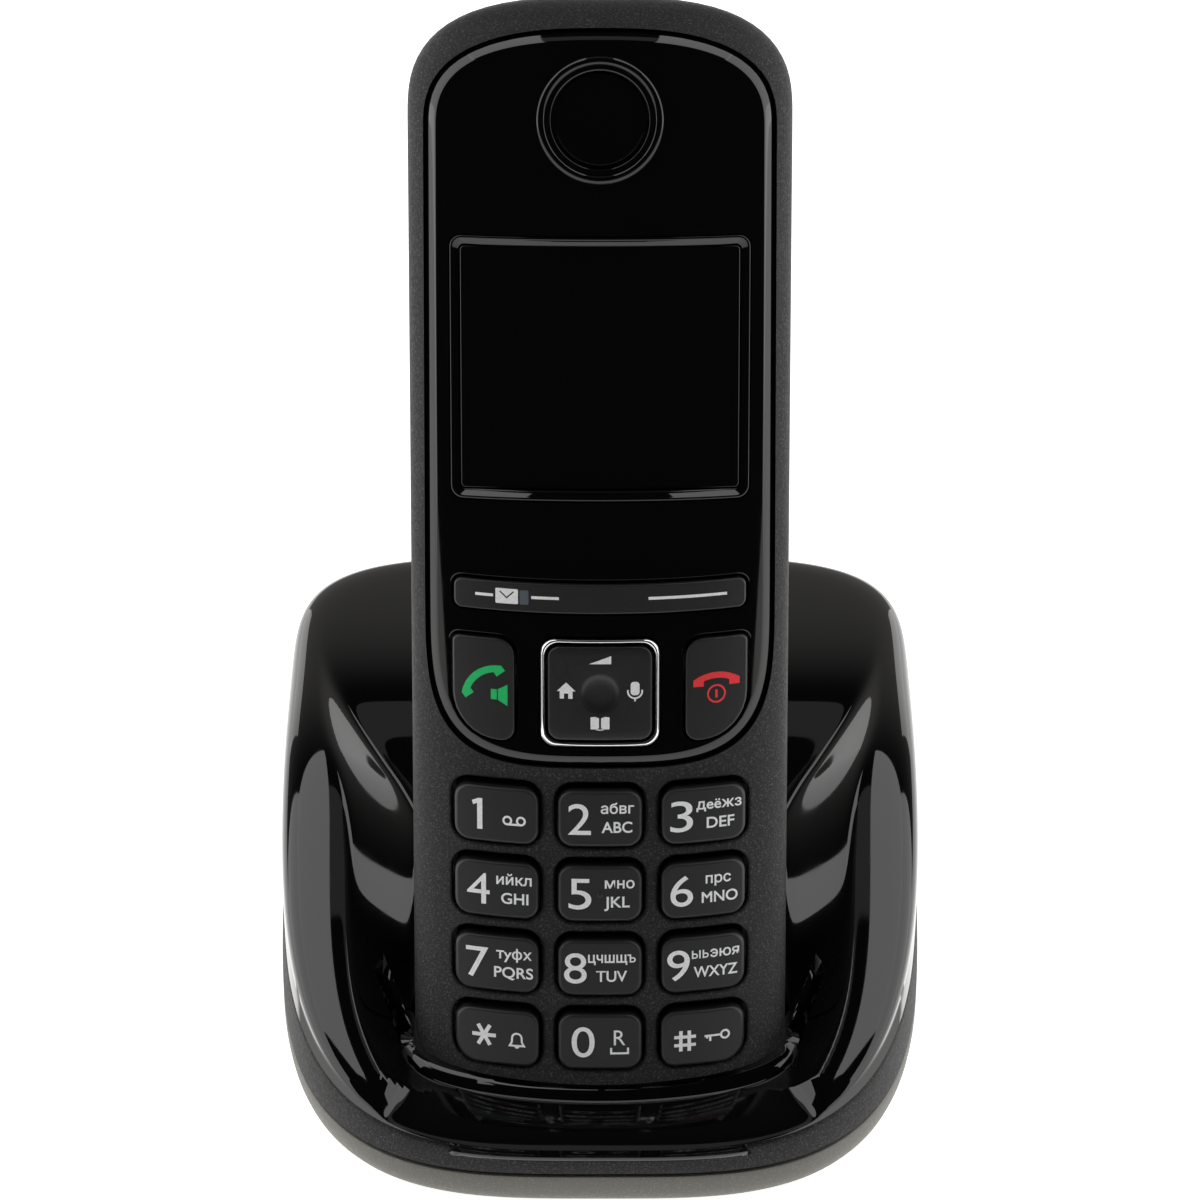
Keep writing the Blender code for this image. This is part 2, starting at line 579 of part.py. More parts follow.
def build_back(frame, form, hollow):
    """The rear shell with its battery door, battery tray, cells and charging pads."""
    rear_half = guide(box_mesh("rear_half", (-30, -80, -30), (30, 90, HALF_SPLIT_Z - GAP)), frame)
    shell = place(handset_form("handset_back_shell"), matte_black, frame)
    combine(shell, "INTERSECT", rear_half)
    combine(shell, "DIFFERENCE", hollow)

    door_line = rounded_outline(*DOOR_SIZE, (DOOR_RADIUS,) * 4, DOOR_CENTRE)
    door_hole = rounded_outline(*DOOR_HOLE_SIZE, (DOOR_RADIUS + GAP,) * 4, DOOR_HOLE_CENTRE)
    under_door = guide(handset_form("under_door", *[DOOR_THICKNESS] * 4), frame)
    door = place(prism_mesh("battery_door", door_line, -28, -16), matte_black, frame)
    combine(door, "INTERSECT", form)
    combine(door, "DIFFERENCE", under_door)
    combine(shell, "DIFFERENCE", guide(prism_mesh("door_hole", door_hole, -30, -16), frame))
    for i in range(-2, 3):
        slot = rounded_outline(9.0 - abs(i), 0.9, (0.4,) * 4, (0.0, RINGER_T + 2.2 * i), steps=2)
        combine(shell, "DIFFERENCE", guide(prism_mesh(f"ringer_slot_{i + 2}", slot, -30, -18), frame))

    tray_limit = guide(handset_form("tray_limit", *[2.1] * 4), frame)
    cavity_low = (-CELL_BAY_HALF_X, CELL_BAY_T[0], CELL_BAY_Z[0])
    cavity_high = (CELL_BAY_HALF_X, CELL_BAY_T[1], CELL_BAY_Z[1])
    tray_cavity = guide(box_mesh("tray_cavity", cavity_low, cavity_high), frame)
    tray_low = (-TRAY_HALF_X, TRAY_T[0], TRAY_Z[0])
    tray_high = (TRAY_HALF_X, TRAY_T[1], TRAY_Z[1])
    tray = place(box_mesh("battery_tray", tray_low, tray_high), inner_plastic, frame)
    combine(tray, "INTERSECT", tray_limit)
    combine(tray, "DIFFERENCE", tray_cavity)
    r, cap, edge = CELL_RADIUS, CELL_CAP_RADIUS, CELL_RADIUS - 0.3
    cell = ((0, CELL_HIGH), (cap, CELL_HIGH), (cap, CELL_HIGH - 0.8), (edge, CELL_HIGH - 0.8),
            (r, CELL_HIGH - 1.1), (r, CELL_LOW + 0.3), (edge, CELL_LOW), (0, CELL_LOW))
    for number, (x, turn) in enumerate(((-CELL_X, -90), (CELL_X, 90)), start=1):
        turned(f"battery_cell_{number}", cell, cell_foil, frame, (x, *CELL_MIDDLE), 14,
               (math.radians(turn), 0, 0))
    for name, t in (("battery_contact_lower", -29.9), ("battery_contact_upper", 17.3)):
        place(box_mesh(name, (-10.4, t, -20.5), (10.4, t + 0.5, -12.5)), spring_metal, frame)

    pad_floor = guide(handset_form("pad_floor", *[1.0] * 4), frame)
    for name, x in (("handset_contact_left", -PAD_X), ("handset_contact_right", PAD_X)):
        low = (x - PAD_HALF_X, PAD_T[0], -27.0)
        high = (x + PAD_HALF_X, PAD_T[1], -16.0)
        pad = place(box_mesh(name, low, high), contact_gold, frame)
        combine(pad, "INTERSECT", form)
        combine(pad, "DIFFERENCE", pad_floor)
        hole_low = (low[0] - GAP, low[1] - GAP, -28.0)
        hole_high = (high[0] + GAP, high[1] + GAP, -16.0)
        combine(shell, "DIFFERENCE", guide(box_mesh(f"{name}_hole", hole_low, hole_high), frame))


# ---------------------------------------------------------------- base parts

def build_base(handset_frame):
    well_space = [-WELL_CLEARANCE] * 4
    well_block = [-WELL_CLEARANCE - WELL_WALL] * 4
    well_hole = [-WELL_CLEARANCE - WELL_WALL - GAP] * 4
    space = guide(handset_form("well_space", *well_space, swept_to=LIFT_SWEEP_T), handset_frame)
    opening = guide(handset_form("well_opening", *well_hole, swept_to=LIFT_SWEEP_T), handset_frame)
    recess = guide(recess_mesh("recess"))
    below_recess = guide(recess_mesh("below_recess", 2.5))
    skirted_dome = guide(dome_mesh("skirted_dome", 0.1, skirt_z=0.0))

    cavity = guide(dome_mesh("cover_cavity", COVER_WALL, skirt_z=2.0))
    combine(cavity, "DIFFERENCE", below_recess)
    cover = place(dome_mesh("base_top_cover"), gloss_black)
    cover.location.z = 0.15 * MM
    combine(cover, "DIFFERENCE", recess, cavity, opening)
    for number, (x, y) in enumerate(corner_points(SCREW_X, SCREW_Y), start=1):
        top = BOSS_FRONT_TOP_Z if y < 0 else BOSS_REAR_TOP_Z
        boss = guide(cylinder_mesh(f"boss_{number}", BOSS_RADIUS, BOSS_LOW_Z, top, (x, y), 12))
        bore = guide(cylinder_mesh(f"boss_bore_{number}", SCREW_BORE_RADIUS, 4.0, 13.0, (x, y), 8))
        combine(cover, "UNION", boss)
        combine(cover, "DIFFERENCE", bore)

    well_form = handset_form("cradle_well", *well_block, swept_to=LIFT_SWEEP_T)
    well = place(well_form, gloss_black, handset_frame)
    combine(well, "INTERSECT", skirted_dome)
    combine(well, "DIFFERENCE", space, recess)

    build_ring()
    build_bottom()
    build_paging_key(cover)
    for name, x in (("charge_contact_left", -PAD_X), ("charge_contact_right", PAD_X)):
        slot = box_mesh(f"{name}_slot", (x - 1.3, -60.8, -28.5), (x + 1.3, -57.2, -20.0))
        combine(well, "DIFFERENCE", guide(slot, handset_frame))
        contact = box_mesh(name, (x - 1.0, -60.5, -24.6), (x + 1.0, -57.5, -22.8))
        place(contact, contact_gold, handset_frame)
    board = rounded_outline(*BASE_BOARD_SIZE, (2.0,) * 4, BASE_BOARD_CENTRE)
    place(prism_mesh("base_board", board, *BASE_BOARD_Z), circuit_green)


def corner_points(x, y):
    return [(-x, -y), (x, -y), (-x, y), (x, y)]


def build_ring():
    """The textured ring, with two windows at the rear for the sockets."""
    levels = []
    for share in (0.0, 0.33, 0.66, 1.0):
        inset = COVER_INSET * share * share
        levels.append(base_ring(lambda y, k=share: ring_z(y, k), inset))
    levels.append(base_ring(lambda y: ring_z(y, 1.0), BASE_WALL))
    levels.append(base_ring(lambda y: ring_z(y, 0.0), BASE_WALL))
    ring = place(loft_mesh("base_ring", levels, closed=True), matte_black)

    x, half, (low_z, high_z) = SOCKET_X, LINE_OPENING_HALF_X, LINE_OPENING_Z
    line_window = guide(box_mesh("line_window", (x - half, 45, low_z), (x + half, 60, high_z)))
    power_window = cylinder_mesh("power_window", POWER_WINDOW_RADIUS, 0, 14, sides=20)
    combine(ring, "DIFFERENCE", line_window, turn_to_rear(power_window))

    line_cavity = guide(box_mesh("line_cavity", (x - half, 41.2, low_z), (x + half, 60, high_z)))
    line_low = (x - LINE_HALF_X, SOCKET_FRONT_Y, SOCKET_FLOOR_Z)
    line_high = (x + LINE_HALF_X, SOCKET_REAR_Y, LINE_TOP_Z)
    line = place(box_mesh("line_socket", line_low, line_high), inner_plastic)
    combine(line, "DIFFERENCE", line_cavity)
    power_low = (-x - POWER_HALF_X, SOCKET_FRONT_Y, SOCKET_FLOOR_Z)
    power_high = (-x + POWER_HALF_X, SOCKET_REAR_Y, POWER_TOP_Z)
    power = place(box_mesh("power_socket", power_low, power_high), inner_plastic)
    power_bore = cylinder_mesh("power_bore", POWER_BORE_RADIUS, 0, POWER_BORE_DEPTH, sides=20)
    combine(power, "DIFFERENCE", turn_to_rear(power_bore))


def ring_z(y, share):
    low = SEAM_Z + GAP / 2
    return low + (parting_z(y) - GAP / 2 - low) * share


def turn_to_rear(mesh):
    """A round cutter laid along -Y from behind the power socket."""
    cutter = guide(mesh, None, (-SOCKET_X, 60.0, POWER_AXIS_Z))
    cutter.rotation_euler = (math.radians(90), 0, 0)
    return cutter


def build_bottom():
    """The bottom shell, an open tray, with the screws through it and the feet set into it."""
    outer = ((BASE_UNDERSIDE_Z, 3.2), (1.6, 1.7), (2.8, 0.5), (SEAM_Z - GAP / 2, 0.0))
    rings = [base_ring(z, inset) for z, inset in outer]
    rings += [base_ring(SEAM_Z - GAP / 2, BASE_WALL), base_ring(BASE_FLOOR_Z, BASE_WALL + 0.6)]
    shell = place(loft_mesh("base_bottom_shell", rings), matte_black)
    for number, (x, y) in enumerate(corner_points(SCREW_X, SCREW_Y), start=1):
        boss = guide(cylinder_mesh(f"seat_{number}", SEAT_RADIUS, 1.5, 4.0, (x, y), 14))
        sink = guide(cylinder_mesh(f"sink_{number}", SINK_RADIUS, 0.0, 2.7, (x, y), 14))
        bore = guide(cylinder_mesh(f"seat_bore_{number}", SCREW_BORE_RADIUS, 0.5, 5.0, (x, y), 8))
        combine(shell, "UNION", boss)
        combine(shell, "DIFFERENCE", sink, bore)
        turned(f"base_screw_{number}", screw_profile(), steel, None, (x, y, 0.0), 10)
    for number, (x, y) in enumerate(corner_points(FOOT_X, FOOT_Y), start=1):
        recess = guide(cylinder_mesh(f"foot_recess_{number}", FOOT_RECESS_RADIUS, 0.0, 1.8, (x, y), 16))
        combine(shell, "DIFFERENCE", recess)
        turned(f"base_foot_{number}", ((0, 1.5), (4.5, 1.5), (4.5, 0.3), (4.2, 0.0), (0, 0.0)),
               foot_rubber, None, (x, y, 0.0), 16)


def screw_profile():
    """Shank, head and the recess for the driver, from the tip down."""
    return ((0, 12.0), (0.6, 12.0), (1.2, 11.0), (1.2, 2.4), (2.6, 2.4), (2.6, 1.7), (2.2, 1.3),
            (1.0, 1.3), (0.7, 1.9), (0, 1.9))


def build_paging_key(cover):
    """The key that makes the handset ring, on the slope behind it."""
    slope = math.atan(RAMP_BACK_SLOPE)
    frame = make_frame("paging_frame", (0.0, PAGING_Y, recess_z(0.0, PAGING_Y)), slope)
    line = [power_point(7.0, 3.2, 2.6, 2 * math.pi * i / 24) for i in range(24)]
    hole_line = [power_point(7.35, 3.55, 2.6, 2 * math.pi * i / 24) for i in range(24)]
    place(prism_mesh("paging_key", line, -5.0, 0.7), number_plastic, frame)
    combine(cover, "DIFFERENCE", guide(prism_mesh("paging_hole", hole_line, -6.0, 4.0), frame))
    place(box_mesh("paging_switch", (-3.0, -3.0, -10.2), (3.0, 3.0, -6.2)), inner_metal, frame)


clear_scene()
parts = make_collection("cordless_phone")
cutters = make_collection("cutters")

matte_black = make_material("matte_black", (0.022, 0.022, 0.023), 0.55)
gloss_black = make_material("gloss_black", (0.006, 0.006, 0.007), 0.06)
number_plastic = make_material("number_plastic", (0.034, 0.034, 0.035), 0.45)
panel_key_plastic = make_material("panel_key_plastic", (0.024, 0.024, 0.025), 0.35)
chrome = make_material("chrome", (0.75, 0.75, 0.77), 0.12, 1.0)
display_glass = make_material("display_glass", (0.008, 0.009, 0.011), 0.05)
inner_plastic = make_material("inner_plastic", (0.05, 0.05, 0.05), 0.5)
inner_metal = make_material("inner_metal", (0.45, 0.45, 0.47), 0.35, 1.0)
spring_metal = make_material("spring_metal", (0.6, 0.6, 0.6), 0.3, 1.0)
contact_gold = make_material("contact_gold", (0.78, 0.58, 0.25), 0.25, 1.0)
mat_rubber = make_material("mat_rubber", (0.3, 0.3, 0.3), 0.7)
circuit_green = make_material("circuit_green", (0.02, 0.14, 0.05), 0.4)
cell_foil = make_material("cell_foil", (0.1, 0.16, 0.3), 0.35)
foot_rubber = make_material("foot_rubber", (0.02, 0.02, 0.02), 0.8)
steel = make_material("steel", (0.5, 0.5, 0.5), 0.35, 1.0)

handset_frame = make_frame("handset_frame", HANDSET_ORIGIN, math.radians(90) - HANDSET_LEAN)
build_handset(handset_frame)
build_base(handset_frame)
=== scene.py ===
"""Looks of a cordless phone in its charging base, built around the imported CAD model.

Lengths in the code are millimetres unless a name says otherwise. The handset is described in a
frame of its own: x to the right, t along its length towards the earpiece, and z out of its face.
"""

import json
import math

import bmesh
import bpy
from mathutils import Matrix, Vector
from mathutils.geometry import interpolate_bezier, tessellate_polygon

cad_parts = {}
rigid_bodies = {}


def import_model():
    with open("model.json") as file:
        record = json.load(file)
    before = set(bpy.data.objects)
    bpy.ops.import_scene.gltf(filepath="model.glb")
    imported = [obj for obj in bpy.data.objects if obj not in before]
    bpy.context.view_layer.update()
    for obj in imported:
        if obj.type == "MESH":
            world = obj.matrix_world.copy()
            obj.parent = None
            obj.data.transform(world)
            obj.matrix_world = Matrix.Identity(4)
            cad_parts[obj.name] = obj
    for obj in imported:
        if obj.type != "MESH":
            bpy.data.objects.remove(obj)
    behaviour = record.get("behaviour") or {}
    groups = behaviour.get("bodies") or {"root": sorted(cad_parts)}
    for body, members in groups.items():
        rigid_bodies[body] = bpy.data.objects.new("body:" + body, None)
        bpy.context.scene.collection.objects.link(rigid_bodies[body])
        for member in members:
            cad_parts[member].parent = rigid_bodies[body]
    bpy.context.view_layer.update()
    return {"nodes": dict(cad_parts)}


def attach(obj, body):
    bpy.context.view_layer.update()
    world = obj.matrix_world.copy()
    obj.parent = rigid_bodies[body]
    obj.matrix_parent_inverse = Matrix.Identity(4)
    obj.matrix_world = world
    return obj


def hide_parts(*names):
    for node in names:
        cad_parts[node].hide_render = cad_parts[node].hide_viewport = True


for leftover in list(bpy.data.objects):
    bpy.data.objects.remove(leftover, do_unlink=True)
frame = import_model()
nodes = frame["nodes"]
scene = bpy.context.scene

MM = 0.001
WORLD = Matrix.Identity(4)
LEAN = math.radians(20)
HANDSET_ORIGIN = Vector((0.0, -21.9, 75.2))
HANDSET = Matrix.Translation(HANDSET_ORIGIN * MM) @ Matrix.Rotation(math.radians(90) - LEAN, 4, "X")

# The handset's form
HALF_WIDTH, FACE_DEPTH, BACK_DEPTH, BACK_POWER = 24.5, 9.0, 16.0, 3.0
FOOT_BACK_SHARE, FOOT_TAPER_START = 0.72, -44.0
FOOT_T, TOP_T = -70.0, 75.9
FOOT_CORNER, TOP_CORNER = (6.0, 2.4), (15.0, 2.8)
FOOT_EDGE, TOP_EDGE = (6.0, 2.0), (9.0, 2.2)
SPLIT_Z, GAP = -11.0, 0.3
PANEL_THICKNESS = 1.2
SHELL_WALLS = (2.0, 2.7, 1.8, 2.0)   # at the sides, face, back and ends
SMILE = 0.0013                 # rows of keys curve up towards the sides by SMILE * x^2

# The base's form
HALF_X, HALF_Y, WIDEST_Y = 44.5, 53.5, 23.7
FRONT_POWER, REAR_POWER = 3.5, 4.2
COVER_INSET, SEAM_Z, BASE_WALL = 0.5, 6.7, 3.0
PARTING_FRONT_Z, PARTING_REAR_Z, HUMP_Z = 10.3, 24.0, 39.4
RAMP_START_Z, RAMP_SLOPE, RAMP_BLEND = 11.0, 0.467, 5.5
SHOULDER_POWER = 10.0
WELL_MOUTH_HALF_X, WELL_MOUTH_Z, WELL_CLEARANCE = 25.2, 13.0, 0.5
PLATE_Y, PLATE_SLOPE, PLATE_FLARE = -43.0, 0.24, 0.64   # the plate between the mouth and the front
FLOOR_LENGTH, FLOOR_RISE = 48.0, 13.8   # the recess climbs along the sides of the handset
SIDE_SLOPE, CREASE = 0.75, 0.7
RAMP_BACK_Y, RAMP_BACK_Z, RAMP_BACK_SLOPE, RAMP_BACK_BLEND = -14.5, 18.5, 0.6, 5.0
PAGING_Y = 1.4


# ---------------------------------------------------------------- camera, lights and floor

def look_from(thing, target, location):
    """Aim a camera or a light, whose view is along its own -Z, at a point."""
    thing.location = Vector(location) * MM
    thing.rotation_euler = (Vector(target) - Vector(location)).to_track_quat("-Z", "Y").to_euler()


def softbox(name, location, target, width, height, power):
    light = bpy.data.lights.new(name, "AREA")
    light.shape = "RECTANGLE"
    light.size, light.size_y = width * MM, height * MM
    light.energy = power
    lamp = bpy.data.objects.new(name, light)
    scene.collection.objects.link(lamp)
    look_from(lamp, target, location)
    return lamp


ROOM_RANGE = (0.3, 1.0, 0.02, 0.4)       # from facing the front to facing the rear: dark to light


def build_room():
    """A room that is dark in front of the phone and lighter behind it."""
    world = bpy.data.worlds.new("studio")
    world.use_nodes = True
    tree = world.node_tree
    place = tree.nodes.new("ShaderNodeTexCoord")
    split = tree.nodes.new("ShaderNodeSeparateXYZ")
    spread = tree.nodes.new("ShaderNodeMapRange")
    spread.interpolation_type = "SMOOTHSTEP"
    for socket, value in zip(("From Min", "From Max", "To Min", "To Max"), ROOM_RANGE):
        spread.inputs[socket].default_value = value
    background = tree.nodes["Background"]
    background.inputs["Color"].default_value = (1.0, 0.97, 0.93, 1.0)
    tree.links.new(place.outputs["Generated"], split.inputs["Vector"])
    tree.links.new(split.outputs["Y"], spread.inputs["Value"])
    tree.links.new(spread.outputs["Result"], background.inputs["Strength"])
    scene.world = world


def build_floor():
    shape = bmesh.new()
    bmesh.ops.create_grid(shape, x_segments=8, y_segments=8, size=4.0)
    mesh = bpy.data.meshes.new("floor")
    shape.to_mesh(mesh)
    shape.free()
    floor = bpy.data.objects.new("floor", mesh)
    scene.collection.objects.link(floor)
    paper = bpy.data.materials.new("floor_paper")
    paper.use_nodes = True
    shader = paper.node_tree.nodes["Principled BSDF"]
    shader.inputs["Base Color"].default_value = (0.82, 0.82, 0.82, 1.0)
    shader.inputs["Roughness"].default_value = 0.9
    shader.inputs["Emission Color"].default_value = (1.0, 0.99, 0.97, 1.0)
    shader.inputs["Emission Strength"].default_value = 0.9
    mesh.materials.append(paper)


def build_studio():
    camera = bpy.data.objects.new("camera", bpy.data.cameras.new("camera"))
    scene.collection.objects.link(camera)
    camera.data.lens = 133.9
    camera.data.sensor_width = 36.0
    camera.data.clip_start = 0.01
    camera.location = Vector((0.0, -508.8, 373.5)) * MM
    camera.rotation_euler = (math.radians(90 - 31.5), 0.0, 0.0)
    scene.camera = camera

    scene.view_settings.view_transform = "Standard"
    build_room()
    for name, side in (("left", -1), ("right", 1)):
        x = side * 900.0
        softbox(f"side_{name}", (x, 60.0, 500.0), (0.0, 60.0, 500.0), 820.0, 1000.0, 5.4)
        softbox(f"rear_{name}", (x, 1300.0, 300.0), (0.0, 1300.0, 300.0), 1000.0, 600.0, 3.0)
        x = side * 560.0
        softbox(f"top_{name}", (x, 185.0, 1000.0), (x, 185.0, 0.0), 700.0, 570.0, 2.8)
    softbox("top_middle", (0.0, 170.0, 1000.0), (0.0, 170.0, 0.0), 420.0, 200.0, 0.09)
    build_floor()


# ---------------------------------------------------------------- materials

class Finish:
    """A procedural material, put together from short calls."""

    def __init__(self, name, color, roughness, metallic=0.0, ior=1.5):
        self.material = bpy.data.materials.new(name)
        self.material.use_nodes = True
        self.tree = self.material.node_tree
        self.shader = self.tree.nodes["Principled BSDF"]
        self.shader.inputs["Base Color"].default_value = (*color, 1.0)
        self.shader.inputs["Roughness"].default_value = roughness
        self.shader.inputs["Metallic"].default_value = metallic
        self.shader.inputs["IOR"].default_value = ior
        self.material.diffuse_color = (*color, 1.0)
        self.color = color
        self.place = self.node("ShaderNodeTexCoord").outputs["Object"]
        self.normal = None

    def node(self, kind, **values):
        node = self.tree.nodes.new(kind)
        for name, value in values.items():
            if name in node.inputs:
                node.inputs[name].default_value = value
            else:
                setattr(node, name, value)
        return node

    def link(self, source, target):
        self.tree.links.new(source, target)

    def noise(self, size_mm, detail=2.0, roughness=0.5):
        noise = self.node("ShaderNodeTexNoise", Scale=1.0 / (size_mm * MM), Detail=detail,
                          Roughness=roughness)
        self.link(self.place, noise.inputs["Vector"])
        return noise.outputs["Fac"]

    def remap(self, source, low, high, to_low, to_high):
        remap = self.node("ShaderNodeMapRange")
        for socket, value in zip(("From Min", "From Max", "To Min", "To Max"), (low, high, to_low, to_high)):
            remap.inputs[socket].default_value = value
        self.link(source, remap.inputs["Value"])
        return remap.outputs["Result"]

    def bump(self, height, distance_mm, strength=1.0):
        """Add relief; each call lies on top of the ones before it."""
        bump = self.node("ShaderNodeBump", Strength=strength, Distance=distance_mm * MM)
        self.link(height, bump.inputs["Height"])
        if self.normal:
            self.link(self.normal, bump.inputs["Normal"])
        self.normal = bump.outputs["Normal"]
        self.link(self.normal, self.shader.inputs["Normal"])
        return self

    def vary_roughness(self, source, low, high):
        self.link(self.remap(source, 0.3, 0.7, low, high), self.shader.inputs["Roughness"])
        return self

    def vary_color(self, source, low, high, second):
        """Blend towards a second colour where the source rises from low to high."""
        mix = self.node("ShaderNodeMix", data_type="RGBA")
        mix.inputs[6].default_value = (*self.color, 1.0)
        mix.inputs[7].default_value = (*second, 1.0)
        self.link(self.remap(source, low, high, 0.0, 1.0), mix.inputs["Factor"])
        self.link(mix.outputs[2], self.shader.inputs["Base Color"])
        return self


def grained(name, color, speck, roughness, grain_mm, relief_mm, strength=1.0, shine=0.5):
    """Moulded plastic with a spark-eroded grain."""
    finish = Finish(name, color, roughness)
    finish.shader.inputs["Specular IOR Level"].default_value = shine
    grain = finish.noise(grain_mm, 3.0, 0.6)
    finish.vary_color(grain, 0.52, 0.72, speck)
    finish.vary_roughness(finish.noise(grain_mm * 2.2), roughness - 0.07, roughness + 0.07)
    finish.bump(grain, relief_mm, strength)
    return finish.material


def polished(name, color, roughness, wave_mm=9.0, relief_mm=0.0016):
    """Piano-black plastic: almost a mirror, with a slow swell from the mould and faint wiping marks."""
    finish = Finish(name, color, roughness)
    finish.vary_roughness(finish.noise(3.0, 4.0), roughness * 0.7, roughness * 1.5)
    finish.bump(finish.noise(wave_mm, 1.0), relief_mm)
    return finish.material


def metal(name, color, roughness, grain_mm=0.5):
    finish = Finish(name, color, roughness, metallic=1.0)
    finish.vary_roughness(finish.noise(grain_mm, 3.0), roughness * 0.75, roughness * 1.3)
    finish.bump(finish.noise(grain_mm * 2.0), 0.002)
    return finish.material


def ink(name, color):
    finish = Finish(name, color, 0.45)
    finish.vary_color(finish.noise(0.35), 0.35, 0.75, tuple(0.86 * c for c in color))
    finish.bump(finish.noise(0.2), 0.003)
    return finish.material


def make_materials():
    return {
        "matte_black": grained("matte_black", (0.008, 0.0075, 0.008), (0.07, 0.064, 0.066), 0.56, 0.26, 0.07,
                               shine=0.3),
        # The lower shell is dark plastic; its base colour here is a lighter olive grey that paints in the
        # light the white floor throws up on it.
        "shell_black": grained("shell_black", (0.13, 0.127, 0.11), (0.21, 0.205, 0.18), 0.45, 0.24, 0.03),
        "gloss_black": polished("gloss_black", (0.0014, 0.0014, 0.0017), 0.035),
        "number_plastic": grained("number_plastic", (0.011, 0.011, 0.0115), (0.016, 0.016, 0.0165), 0.4, 0.12,
                                  0.008, shine=0.38),
        "panel_key_plastic": grained("panel_key_plastic", (0.011, 0.011, 0.0115), (0.016, 0.016, 0.0165),
                                     0.36, 0.12, 0.008, shine=0.38),
        "chrome": metal("chrome", (0.78, 0.78, 0.8), 0.09),
        "display_glass": polished("display_glass", (0.0014, 0.0015, 0.002), 0.02, 14.0, 0.001),
        "inner_plastic": grained("inner_plastic", (0.03, 0.03, 0.03), (0.045, 0.045, 0.045), 0.5, 0.2, 0.02),
        "inner_metal": metal("inner_metal", (0.5, 0.5, 0.52), 0.32),
        "spring_metal": metal("spring_metal", (0.62, 0.62, 0.62), 0.25),
        "contact_gold": metal("contact_gold", (0.8, 0.6, 0.28), 0.22),
        "mat_rubber": grained("mat_rubber", (0.28, 0.28, 0.28), (0.33, 0.33, 0.33), 0.65, 0.3, 0.01),
        "circuit_green": grained("circuit_green", (0.014, 0.11, 0.04), (0.02, 0.16, 0.06), 0.35, 0.8, 0.01),
        "cell_foil": grained("cell_foil", (0.08, 0.13, 0.26), (0.1, 0.16, 0.3), 0.3, 1.2, 0.004),
        "foot_rubber": grained("foot_rubber", (0.02, 0.02, 0.02), (0.03, 0.03, 0.03), 0.75, 0.25, 0.03),
        "steel": metal("steel", (0.52, 0.52, 0.54), 0.28),
        "white_ink": ink("white_ink", (0.84, 0.85, 0.86)),
        "green_ink": ink("green_ink", (0.0, 0.5, 0.13)),
        "red_ink": ink("red_ink", (0.82, 0.025, 0.03)),
        "lamp_grey": ink("lamp_grey", (0.075, 0.095, 0.12)),
        "dark_ink": ink("dark_ink", (0.02, 0.02, 0.022)),
    }


# ---------------------------------------------------------------- mesh helpers

SHARP_ANGLE = math.radians(38)


def to_object(name, shape, body, look, space=WORLD, recalc=True):
    """An object from a bmesh in millimetres, riding on a body if one is given."""
    if recalc:
        bmesh.ops.recalc_face_normals(shape, faces=shape.faces)
    mesh = bpy.data.meshes.new(name)
    shape.to_mesh(mesh)
    shape.free()
    mesh.transform(Matrix.Scale(MM, 4))
    mesh.transform(space)
    mesh.shade_smooth()
    mesh.set_sharp_from_angle(angle=SHARP_ANGLE)
    thing = bpy.data.objects.new(name, mesh)
    scene.collection.objects.link(thing)
    if look:
        mesh.materials.append(LOOKS[look])
    if body:
        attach(thing, body)
    return thing


def add_loft(shape, rings, closed=False, caps=(False, False)):
    """Add a skin over a row of equal rings to a bmesh. Caps fill the first and last ring."""
    rows = [[shape.verts.new(point) for point in ring] for ring in rings]
    pairs = list(zip(rows, rows[1:]))
    if closed:
        pairs.append((rows[-1], rows[0]))
    count = len(rows[0])
    for lower, upper in pairs:
        for i in range(count):
            j = (i + 1) % count
            shape.faces.new((lower[i], lower[j], upper[j], upper[i]))
    for row, wanted in zip((rows[0], rows[-1]), caps):
        if wanted:
            close_ring(shape, row)
    return rows


def skin(rings, closed=False, caps=(True, True)):
    """A bmesh of its own over a row of equal rings; a closed one has no caps."""
    shape = bmesh.new()
    add_loft(shape, rings, closed, (False, False) if closed else caps)
    return shape


def close_ring(shape, row):
    """Fill a ring with a fan to its middle."""
    middle = sum((v.co for v in row), Vector()) / len(row)
    hub = shape.verts.new(middle)
    for i in range(len(row)):
        shape.faces.new((row[i], row[(i + 1) % len(row)], hub))


def prism(outline, low, high):
    return skin([[(x, y, low) for x, y in outline], [(x, y, high) for x, y in outline]])


def block(low, high):
    shape = bmesh.new()
    size = [b - a for a, b in zip(low, high)]
    middle = [(a + b) / 2 for a, b in zip(low, high)]
    bmesh.ops.create_cube(shape, size=1.0,
                          matrix=Matrix.Translation(middle) @ Matrix.Diagonal((*size, 1.0)))
    return shape


def tool(shape, space=WORLD):
    """A solid that only serves to cut another."""
    return to_object("tool", shape, None, None, space)


def apply_modifiers(thing):
    """Put what the modifiers make into the mesh."""
    bpy.context.view_layer.update()
    evaluated = thing.evaluated_get(bpy.context.evaluated_depsgraph_get())
    mesh = bpy.data.meshes.new_from_object(evaluated)
    thing.modifiers.clear()
    old = thing.data
    thing.data = mesh
    bpy.data.meshes.remove(old)
    mesh.shade_smooth()
    mesh.set_sharp_from_angle(angle=SHARP_ANGLE)


def carve(thing, *steps):
    """Apply Booleans, given as (operation, tool). The tools stay until they are dropped."""
    for operation, cutter in steps:
        modifier = thing.modifiers.new("cut", "BOOLEAN")
        modifier.operation = operation
        modifier.object = cutter
    apply_modifiers(thing)


def drop(*tools):
    for cutter in tools:
        bpy.data.objects.remove(cutter, do_unlink=True)


def cut_away(thing, *cutters):
    """Take the cutters out of a piece, and drop them."""
    carve(thing, *[("DIFFERENCE", cutter) for cutter in cutters])
    drop(*cutters)


